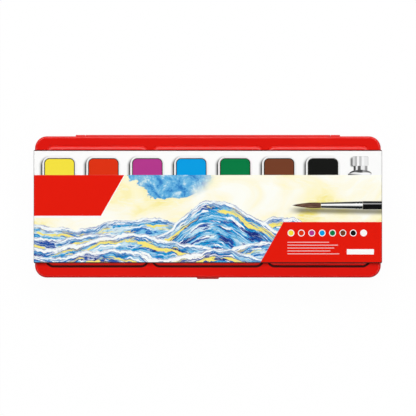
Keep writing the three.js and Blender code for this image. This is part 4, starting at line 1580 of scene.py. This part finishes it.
def painted_swell(below, x, y, wave, number):
    """A band of water over what is behind it: flat strokes, dry bristle marks, glints and broken foam."""
    wander = (x * 0.05).point(y * 0.03, 3 + 4 * number).noise(1, 4, 0.6) - 0.5
    roll = ((x - wave.shift) * (2 * math.pi / wave.length)).maths("SINE") * wave.height
    crest = roll + wander * CREST_WANDER + wave.level
    if wave.hump:
        crest = crest + (abs(x - HUMP_X) / HUMP_HALF_LENGTH).rise(1, 0) * wave.hump
    depth = crest - y
    along = (x + depth * wave.lean) / STROKE_LENGTH
    across = depth / STROKE_WIDTH
    sway = along.point(across * 0.5, number).noise(1.2, 2, 0.5) - 0.5
    strokes = (along + sway * 0.5).point(across + sway * 1.4, 7 * number).noise(1, 5, 0.6, 0.3)
    body = strokes.ramp(*flat_strokes(wave.tones))
    bristles = (along * 3).point(across * 7, 9 + number).noise(1, 4, 0.7)
    body = (bristles.rise(0.55, 0.58) * 0.5).mix(body, ICE)
    body = (bristles.rise(0.43, 0.4) * 0.55).mix(body, NAVY)
    glints = (along * 1.6).point(across * 2.2, 31 + number).noise(1, 5, 0.6, 0.5)
    glow = abs(depth - GLOW_DEPTH) + (strokes - 0.5) * GLOW_WANDER
    body = (glow.rise(2.2, 1.6) * glints.rise(0.5, 0.47)).mix(body, SUN_YELLOW)
    body = glints.rise(0.595, 0.61).mix(body, SPRAY)
    broken = depth + (bristles - 0.5) * FOAM_BRISTLES + (strokes - 0.5) * FOAM_STROKES
    body = (abs(broken - FOAM_WIDTH - FOAM_LINE).rise(0.8, 0.5) * 0.6).mix(body, DEEP_BLUE)
    body = broken.rise(FOAM_WIDTH, FOAM_WIDTH * 0.8).mix(body, SPRAY)
    edge = y - crest + (bristles - 0.5) * CREST_FRAY
    contour = abs(edge + CREST_LINE).rise(0.5, 0.25) * bristles.rise(0.52, 0.48)
    body = (contour * 0.6).mix(body, DEEP_BLUE)
    return inked(edge, SOFT_EDGE).mix(below, body)


def painted_sea(place, x, y):
    picture = painted_sky(place, x, y)
    for number, wave in enumerate(SWELLS):
        picture = painted_swell(picture, x, y, wave, number)
    return picture


# The strip along the back shows what is inside: the tops of the seven pans with their shadows, and the
# tube's fluted cap, its neck and its shoulder.
STRIP_FRONT = 21.2
PAN_PITCH = 29.18
PAN_FIRST = -98.6
PAN_TOP = 33.6
PAN_HALF_LENGTH = 24.4
PAN_HALF_WIDTH = 11.35
PAN_RADIUS = 5.2
PAN_WALL_SHOWN = 1.75
PAN_CAKE_RADIUS = 3
PAN_LINE = 0.6
PAN_RIDGE = 0.55
PAN_SHADOW_LEFT = 1
PAN_SHADOW_FRONT = 0.9
PAN_SHADOW_END = 2.1
PAN_SHADOW_CORE = -0.9
PAN_SHADOW_FALL = 1.7
SHADOW_INK = shade(36, 36, 36)
RIDGE_INK = shade(150, 150, 150)
LINE_INK = shade(44, 43, 38)
CLEAN_CUT = 0.01


def between(place, start, end, softness=0.1):
    """1 from a start to an end, and 0 on both sides of them."""
    return (place - start).rise(0, softness) * (end - place).rise(0, softness)


def greys(*stops):
    """Colour stops in plain greys, from pairs of a place and a level."""
    return [(place, shade(level, level, level)) for place, level in stops]


def swatches(x, first, pitch, paints):
    """A row of places, one for each paint: the distance from the middle of each, the row, its colours."""
    along = x - (first - pitch / 2)
    length = pitch * len(paints)
    places = [(at / len(paints), shade(*paint)) for at, paint in enumerate(paints)]
    colours = (along / length).ramp(*places, blending="CONSTANT")
    return along.maths("FLOORED_MODULO", pitch) - pitch / 2, between(along, 0, length, CLEAN_CUT), colours


def box_distance(x, y, half_length, half_width, radius):
    """The distance from a rounded box round the origin: negative inside it."""
    over_x = abs(x) - (half_length - radius)
    over_y = abs(y) - (half_width - radius)
    corner = over_x.most(0) * over_x.most(0) + over_y.most(0) * over_y.most(0)
    return corner ** 0.5 + over_x.most(over_y).least(0) - radius


def printed_pans(x, y):
    """The tops of the pans: white rims with a fine ridge, dark lines round the paint, and shadows."""
    pan_x, here, colours = swatches(x, PAN_FIRST, PAN_PITCH, GOUACHES.values())
    pan_y = y - (PAN_TOP - PAN_HALF_LENGTH)
    cast_x = pan_x + PAN_SHADOW_LEFT
    cast_y = pan_y + PAN_SHADOW_FRONT
    cast = box_distance(cast_x, cast_y, PAN_HALF_WIDTH, PAN_HALF_LENGTH, PAN_RADIUS)
    shadow = cast.rise(PAN_SHADOW_END, PAN_SHADOW_CORE) ** PAN_SHADOW_FALL
    picture = (shadow * here).mix(CARD_WHITE, SHADOW_INK)
    rim = box_distance(pan_x, pan_y, PAN_HALF_WIDTH, PAN_HALF_LENGTH, PAN_RADIUS)
    picture = (inked(rim) * here).mix(picture, CARD_WHITE)
    ridge = abs(rim + PAN_RIDGE).rise(0.3, 0.1)
    picture = (ridge * here * 0.28).mix(picture, RIDGE_INK)
    cake_half_length = PAN_HALF_LENGTH - PAN_WALL_SHOWN
    cake = box_distance(pan_x, pan_y, PAN_HALF_WIDTH - PAN_WALL_SHOWN, cake_half_length, PAN_CAKE_RADIUS)
    picture = (inked(cake - PAN_LINE) * here).mix(picture, LINE_INK)
    return (inked(cake) * here).mix(picture, colours)


TUBE_MIDDLE = 101.4
TUBE_CAP_BACK = 33.7
TUBE_CAP_FRONT = 27.3
TUBE_CAP_HALF = 5.3
TUBE_NECK_HALF = 4.6
TUBE_NECK_FOOT = 24
TUBE_BODY_MIDDLE = 100.9
TUBE_BODY_HALF = 7.8
SHOULDER_LINE = 23.75
SHOULDER_REACH = 7.3
SHOULDER_FALL = 1.4
SHOULDER_HALF = 1.05
SHOULDER_THINNING = 0.62
BODY_LINE = 22.2
TUBE_CORNER = 0.8
CROWN_DEPTH = 0.8
TUBE_SHADOW_LEFT = 1.1
TUBE_SHADOW_FRONT = 0.7
TUBE_SHADOW_TRIM = 0.4
TUBE_SHADOW_CORNER = 1
TUBE_SHADOW_END = 1.1
TUBE_SHADOW_CORE = -0.6
TUBE_SHADOW_INK = shade(70, 70, 70)
CROWN_INK = shade(180, 180, 178)
NECK_TONES = greys(
    (0, 64), (0.13, 68), (0.18, 236), (0.27, 240), (0.33, 84),
    (0.49, 92), (0.55, 238), (0.78, 236), (0.86, 146), (0.98, 160),
)
RIM_TONES = greys((0, 64), (0.1, 92), (0.3, 176), (0.5, 226), (0.64, 250), (0.9, 250), (1, 216))
SHOULDER_TONES = greys(
    (0, 28), (0.14, 44), (0.26, 118), (0.4, 74), (0.56, 80), (0.64, 164), (0.76, 120), (0.9, 118), (1, 140)
)
FLUTE_TONES = greys(
    (0, 200), (0.05, 222), (0.13, 212), (0.19, 188), (0.235, 152), (0.29, 244), (0.38, 252),
    (0.43, 206), (0.54, 198), (0.59, 246), (0.7, 248), (0.76, 232), (0.93, 234), (1, 210),
)


def share_across(place, half):
    """From 0 to 1 across a printed thing, from the distance off its middle and half its width."""
    return place / (2 * half) + 0.5


def printed_tube(below, x, y):
    """The tube's fluted cap with its shadow, its neck, its shoulder and the rim of its body."""
    side = x - TUBE_MIDDLE
    cap_y = y - (TUBE_CAP_BACK + TUBE_CAP_FRONT) / 2
    cap_half = (TUBE_CAP_BACK - TUBE_CAP_FRONT) / 2
    cast_x = side + TUBE_SHADOW_LEFT
    cast_y = cap_y + TUBE_SHADOW_FRONT
    cast = box_distance(cast_x, cast_y, TUBE_CAP_HALF, cap_half - TUBE_SHADOW_TRIM, TUBE_SHADOW_CORNER)
    picture = (cast.rise(TUBE_SHADOW_END, TUBE_SHADOW_CORE) * 0.9).mix(below, TUBE_SHADOW_INK)
    neck_half = (TUBE_CAP_FRONT - TUBE_NECK_FOOT) / 2
    neck = box_distance(side, y - TUBE_NECK_FOOT - neck_half, TUBE_NECK_HALF, neck_half, 0.2)
    picture = inked(neck, SOFT_EDGE).mix(picture, share_across(side, TUBE_NECK_HALF).ramp(*NECK_TONES))
    out = side / SHOULDER_REACH
    round_line = y - SHOULDER_LINE + out * out * out * out * SHOULDER_FALL
    aside = x - TUBE_BODY_MIDDLE
    over_edge = abs(aside) - TUBE_BODY_HALF
    picture = inked(round_line.most(over_edge), SOFT_EDGE).mix(picture, CARD_WHITE)
    rim = (BODY_LINE - y).rise(-0.2, 0.3) * inked(over_edge, SOFT_EDGE)
    picture = rim.mix(picture, share_across(aside, TUBE_BODY_HALF).ramp(*RIM_TONES))
    thick = SHOULDER_HALF * (1 - abs(out) * SHOULDER_THINNING)
    band = (abs(round_line) - thick).most(abs(side) - SHOULDER_REACH)
    picture = inked(band, SOFT_EDGE).mix(picture, share_across(side, SHOULDER_REACH).ramp(*SHOULDER_TONES))
    crown = cap_y.rise(cap_half - CROWN_DEPTH, cap_half)
    flutes = (crown * 0.35).mix(share_across(side, TUBE_CAP_HALF).ramp(*FLUTE_TONES), CROWN_INK)
    outline = box_distance(side, cap_y, TUBE_CAP_HALF, cap_half, TUBE_CORNER)
    return inked(outline, SOFT_EDGE).mix(picture, flutes)


# A brush is printed at the right, over the sky, at the size of the real one: brown hair, a bright ferrule
# with two crimps, and a black handle that runs on down the side. It casts a soft shadow in front of it.
BRUSH_LINE = 1.1
BRUSH_TIP = 55.8
HAIR_END = 75.1
FERRULE_END = 102.9
HAIR_HALF = 1.85
FERRULE_HALF = 2.6
HANDLE_HALF = 2.7
CRIMPS_MIDDLE = 99.7
CRIMPS_HALF = 1.15
CRIMPS_SINK = 0.12
BRUSH_SHADOW_DROP = 3.3
BRUSH_SHADOW_LEAN = 0.014
BRUSH_SHADOW_HALF = 3.2
BRUSH_SHADOW_START = -4
BRUSH_SHADOW_FULL = 7
BRUSH_SHADOW_INK = shade(96, 92, 68)
HAIR_TONES = [(0.3, shade(60, 38, 32)), (0.5, shade(98, 70, 58)), (0.66, shade(134, 104, 86))]
HAIR_SIDE_INK = shade(72, 50, 42)
HAIR_TIP_INK = shade(46, 30, 26)
HAIR_OUTLINE = [(0, 0), (0.1, 0.26), (0.3, 0.6), (0.5, 0.86), (0.72, 1), (1, 0.96)]
METAL_TONES = [
    (0.0, shade(214, 214, 210)),
    (0.06, shade(150, 150, 148)),
    (0.12, shade(16, 20, 22)),
    (0.34, shade(22, 28, 30)),
    (0.42, shade(170, 172, 172)),
    (0.5, shade(252, 252, 252)),
    (0.68, shade(255, 255, 255)),
    (0.76, shade(120, 122, 122)),
    (0.84, shade(18, 20, 22)),
    (0.95, shade(40, 42, 42)),
    (1.0, shade(190, 190, 186)),
]
WOOD_TONES = greys((0, 6), (0.58, 8), (0.64, 130), (0.71, 180), (0.77, 90), (0.83, 5))


def printed_brush(below, x, y):
    off = y - BRUSH_LINE
    from_tip = x - BRUSH_TIP
    shadow_line = abs(off + BRUSH_SHADOW_DROP + from_tip * BRUSH_SHADOW_LEAN) / BRUSH_SHADOW_HALF
    shadow = shadow_line.rise(1, 0.1) * from_tip.rise(BRUSH_SHADOW_START, BRUSH_SHADOW_FULL)
    picture = (shadow * 0.78).mix(below, BRUSH_SHADOW_INK)
    along_hair = from_tip / (HAIR_END - BRUSH_TIP)
    widths = [(place, (width, width, width, 1)) for place, width in HAIR_OUTLINE]
    hair_half = along_hair.ramp(*widths, blending="CARDINAL") * HAIR_HALF
    strands = (x * 0.12).point(off * 2.4, 7.0).noise(1, 3, 0.6)
    hair = (abs(off) / HAIR_HALF).rise(0.55, 1).mix(strands.ramp(*HAIR_TONES), HAIR_SIDE_INK)
    hair = (along_hair.rise(0.45, 0.05) * 0.7).mix(hair, HAIR_TIP_INK)
    picture = (inked(abs(off) - hair_half) * between(x, BRUSH_TIP, HAIR_END)).mix(picture, hair)
    along_metal = (x - HAIR_END) / (FERRULE_END - HAIR_END)
    metal_half = HAIR_HALF + along_metal * (FERRULE_HALF - HAIR_HALF)
    crimps = abs(abs(x - CRIMPS_MIDDLE) - CRIMPS_HALF).rise(0.5, 0.2)
    metal = share_across(off * (1 - crimps * CRIMPS_SINK), metal_half).ramp(*METAL_TONES)
    picture = (inked(abs(off) - metal_half) * between(x, HAIR_END, FERRULE_END)).mix(picture, metal)
    wood = share_across(off, HANDLE_HALF).ramp(*WOOD_TONES)
    return (inked(abs(off) - HANDLE_HALF) * (x - FERRULE_END).rise(0, 0.1)).mix(picture, wood)


# Two red flags with slanted ends cross the picture. The left one is bare. The right one has a row of colour
# dots in white rings, one for each paint, over five thin white lines and a blank white bar.
FLAG_RED = shade(228, 22, 2)
FLAG_SLANT = 0.572
LEFT_FLAG_END = -55.6
LEFT_FLAG_FRONT = -5.9
LEFT_FLAG_LINE = 1.4
LEFT_FLAG_MARGIN = 0.5
RIGHT_FLAG_END = 50.2
RIGHT_FLAG_BACK = -10
DOT_LINE = -17.3
DOT_FIRST = 55.2
DOT_PITCH = 6.9
DOT_RADIUS = 1.75
DOT_RING = 0.5
RULE_LINE = -27.3
RULE_PITCH = 1.93
RULE_THICKNESS = 0.5
RULES_EACH_SIDE = 2
RULE_START = 52.8
RULE_END = 84
RULE_RAGGED = 3.4
RULE_BEAT = 2.3
BAR_MIDDLE = 101.3
BAR_LINE = -29.8
BAR_LENGTH = 18
BAR_WIDTH = 3.5
BAR_CORNER = 0.2


def printed_flags(below, x, y):
    """The flags with their slanted ends, and the dots, the lines and the bar on the right one."""
    slant = 1 / math.hypot(1, FLAG_SLANT)
    left_end = (x - LEFT_FLAG_END - (y - STRIP_FRONT) * FLAG_SLANT) * slant
    left = left_end.most(LEFT_FLAG_FRONT - y).most(y - STRIP_FRONT)
    margin = (left_end - LEFT_FLAG_MARGIN).most(LEFT_FLAG_FRONT - LEFT_FLAG_LINE - y).most(y - STRIP_FRONT)
    picture = inked(margin).mix(below, CARD_WHITE)
    picture = inked(left).mix(picture, FLAG_RED)
    right_end = (RIGHT_FLAG_END + (y - RIGHT_FLAG_BACK) * FLAG_SLANT - x) * slant
    right = right_end.most(y - RIGHT_FLAG_BACK)
    picture = inked(right).mix(picture, FLAG_RED)
    dot_x, here, colours = swatches(x, DOT_FIRST, DOT_PITCH, [*GOUACHES.values(), PAINT_WHITE])
    dot_y = y - DOT_LINE
    dot = (dot_x * dot_x + dot_y * dot_y) ** 0.5 - DOT_RADIUS
    picture = (inked(dot - DOT_RING) * here).mix(picture, CARD_WHITE)
    picture = (inked(dot) * here).mix(picture, colours)
    rule_y = y - RULE_LINE
    row = (rule_y / RULE_PITCH + 0.5).maths("FLOOR")
    rule = abs(rule_y - row * RULE_PITCH) - RULE_THICKNESS / 2
    rule_end = RULE_END + (row * RULE_BEAT).maths("SINE") * RULE_RAGGED
    listed = abs(row).rise(RULES_EACH_SIDE + 0.6, RULES_EACH_SIDE + 0.4)
    rules = inked(rule) * between(x, RULE_START, rule_end) * listed
    picture = (rules * 0.55).mix(picture, CARD_WHITE)
    bar = box_distance(x - BAR_MIDDLE, y - BAR_LINE, BAR_LENGTH / 2, BAR_WIDTH / 2, BAR_CORNER)
    return inked(bar).mix(picture, CARD_WHITE)


def printed_card():
    """White card with the print over it. The print runs on down the sides, and painted shade darkens it at
    the folds, where it is also rougher.
    """
    finish, start, place = started("printed_card")
    down = (sleeve_top - place.axis("Z")).most(0)
    flat_x = place.axis("X")
    x = flat_x + flat_x.maths("SIGN") * down
    y = place.axis("Y")
    spread = x.point(y, 0.0)
    picture = painted_sea(spread, x, y)
    picture = printed_brush(picture, x, y)
    picture = printed_flags(picture, x, y)
    strip = printed_tube(printed_pans(x, y), x, y)
    picture = (y - STRIP_FRONT).rise(-0.05, 0.05).mix(picture, strip)
    fibres = spread.noise(2.2, 3, 0.6)
    # Painted shade along the side folds, darkest partway round each fold.
    fold_shade = down.rise(0.1, 0.3) * down.rise(1.1 * FOLD_RADIUS, 0.8 * FOLD_RADIUS) * (0.8 + 0.4 * fibres)
    picture = (fold_shade * 0.6).mix(picture, FOLD_SHADE_INK)
    surfaced(
        start,
        {
            "Base Color": picture,
            "Roughness": 0.2 + 0.08 * fibres + 0.15 * fold_shade,
            "Specular IOR Level": 0.3,
        },
        fibres * 0.006,
    )
    return finish


def plain_card(name, colour, dark, coarse):
    """Unprinted card: pale board with short fibres that lie every way."""
    finish, start, place = started(name)
    fibres = place.stretched(1, 0.35, 1).noise(3.2, 4, 0.7)
    specks = place.noise(1.3, 5, 0.75).rise(0.62, 0.74)
    surfaced(
        start,
        {
            "Base Color": (fibres * 0.35 + specks * 0.3).mix(colour, dark),
            "Roughness": 0.78 + 0.12 * fibres,
            "Specular IOR Level": 0.1,
        },
        fibres * coarse,
    )
    return finish


card_print = printed_card()
card_inside = plain_card("card_inside", CARD_INSIDE, CARD_INSIDE_FIBRE, 0.02)
# The cut edge's dark colour is painted shade.
shaded_card_edge = plain_card("shaded_card_edge", CARD_EDGE_SHADE, CARD_EDGE_SHADE_FIBRE, 0.04)
card_under = plain_card("card_under", CARD_WHITE, CARD_FIBRE, 0.008)


def half_loop(inset, face, slit):
    """The sleeve's section on one side of the slit, from the right side over the broad face to the left."""
    fold = FOLD_RADIUS - inset
    side = sleeve_side - inset
    inward = -math.copysign(1, face - slit)
    broad = face + inward * inset
    points = [(side, slit)]
    for hand, start in ((1, 0), (-1, 90)):
        for step in range(FOLD_STEPS + 1):
            angle = math.radians(start + 90 * step / FOLD_STEPS)
            across_fold = hand * (side - fold) + fold * math.cos(angle)
            points.append((across_fold, broad + inward * fold * (1 - math.sin(angle))))
    return [*points, (-side, slit)]


def sleeve_half(name, node, face, slit, broad_finish, body):
    """Half the loop of card, from its printed face to the slit, with bevelled cut edges painted dark as
    painted shade.
    """
    mesh = bmesh.new()
    outer = half_loop(0, face, slit)
    crushed = half_loop(CARD_BEVEL_DEPTH, face, slit)
    hollow = half_loop(CARD, face, slit)

    def row(points, y):
        return [Vector((x, y, z)) for x, z in points]

    back_shoulder = sleeve_back - CARD_BEVEL_WIDTH
    front_shoulder = sleeve_front + CARD_BEVEL_WIDTH
    skin(mesh, [row(outer, front_shoulder), row(outer, back_shoulder)], PRINTED, closed=False)
    skin(mesh, [row(hollow, sleeve_front), row(hollow, sleeve_back)], CARD_BACK, closed=False)
    for end, shoulder in ((sleeve_front, front_shoulder), (sleeve_back, back_shoulder)):
        skin(mesh, [row(outer, shoulder), row(crushed, end), row(hollow, end)], CUT_EDGE, closed=False)
    for hand in (0, -1):
        ends = [
            (outer[hand], front_shoulder),
            (outer[hand], back_shoulder),
            (crushed[hand], sleeve_back),
            (hollow[hand], sleeve_back),
            (hollow[hand], sleeve_front),
            (crushed[hand], sleeve_front),
        ]
        cap(mesh, [mesh.verts.new((x, y, z)) for (x, z), y in ends], CUT_EDGE)
    for sheet in mesh.faces:
        is_broad = all(abs(corner.co.z - face) < WELD_DISTANCE for corner in sheet.verts)
        if sheet.material_index == PRINTED and is_broad:
            sheet.material_index = broad_finish
    half = set_out(name, mesh, card_print, card_inside, shaded_card_edge, card_under)
    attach(half, body)
    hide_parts(node)


under_low, under_high = ends_of("sleeve_lower")
sleeve_half("sleeve_over", "sleeve_upper", sleeve_top, sleeve_low.z, PRINTED, "sleeve_top")
sleeve_half("sleeve_under", "sleeve_lower", under_low.z, under_high.z, UNPRINTED, "sleeve_bottom")
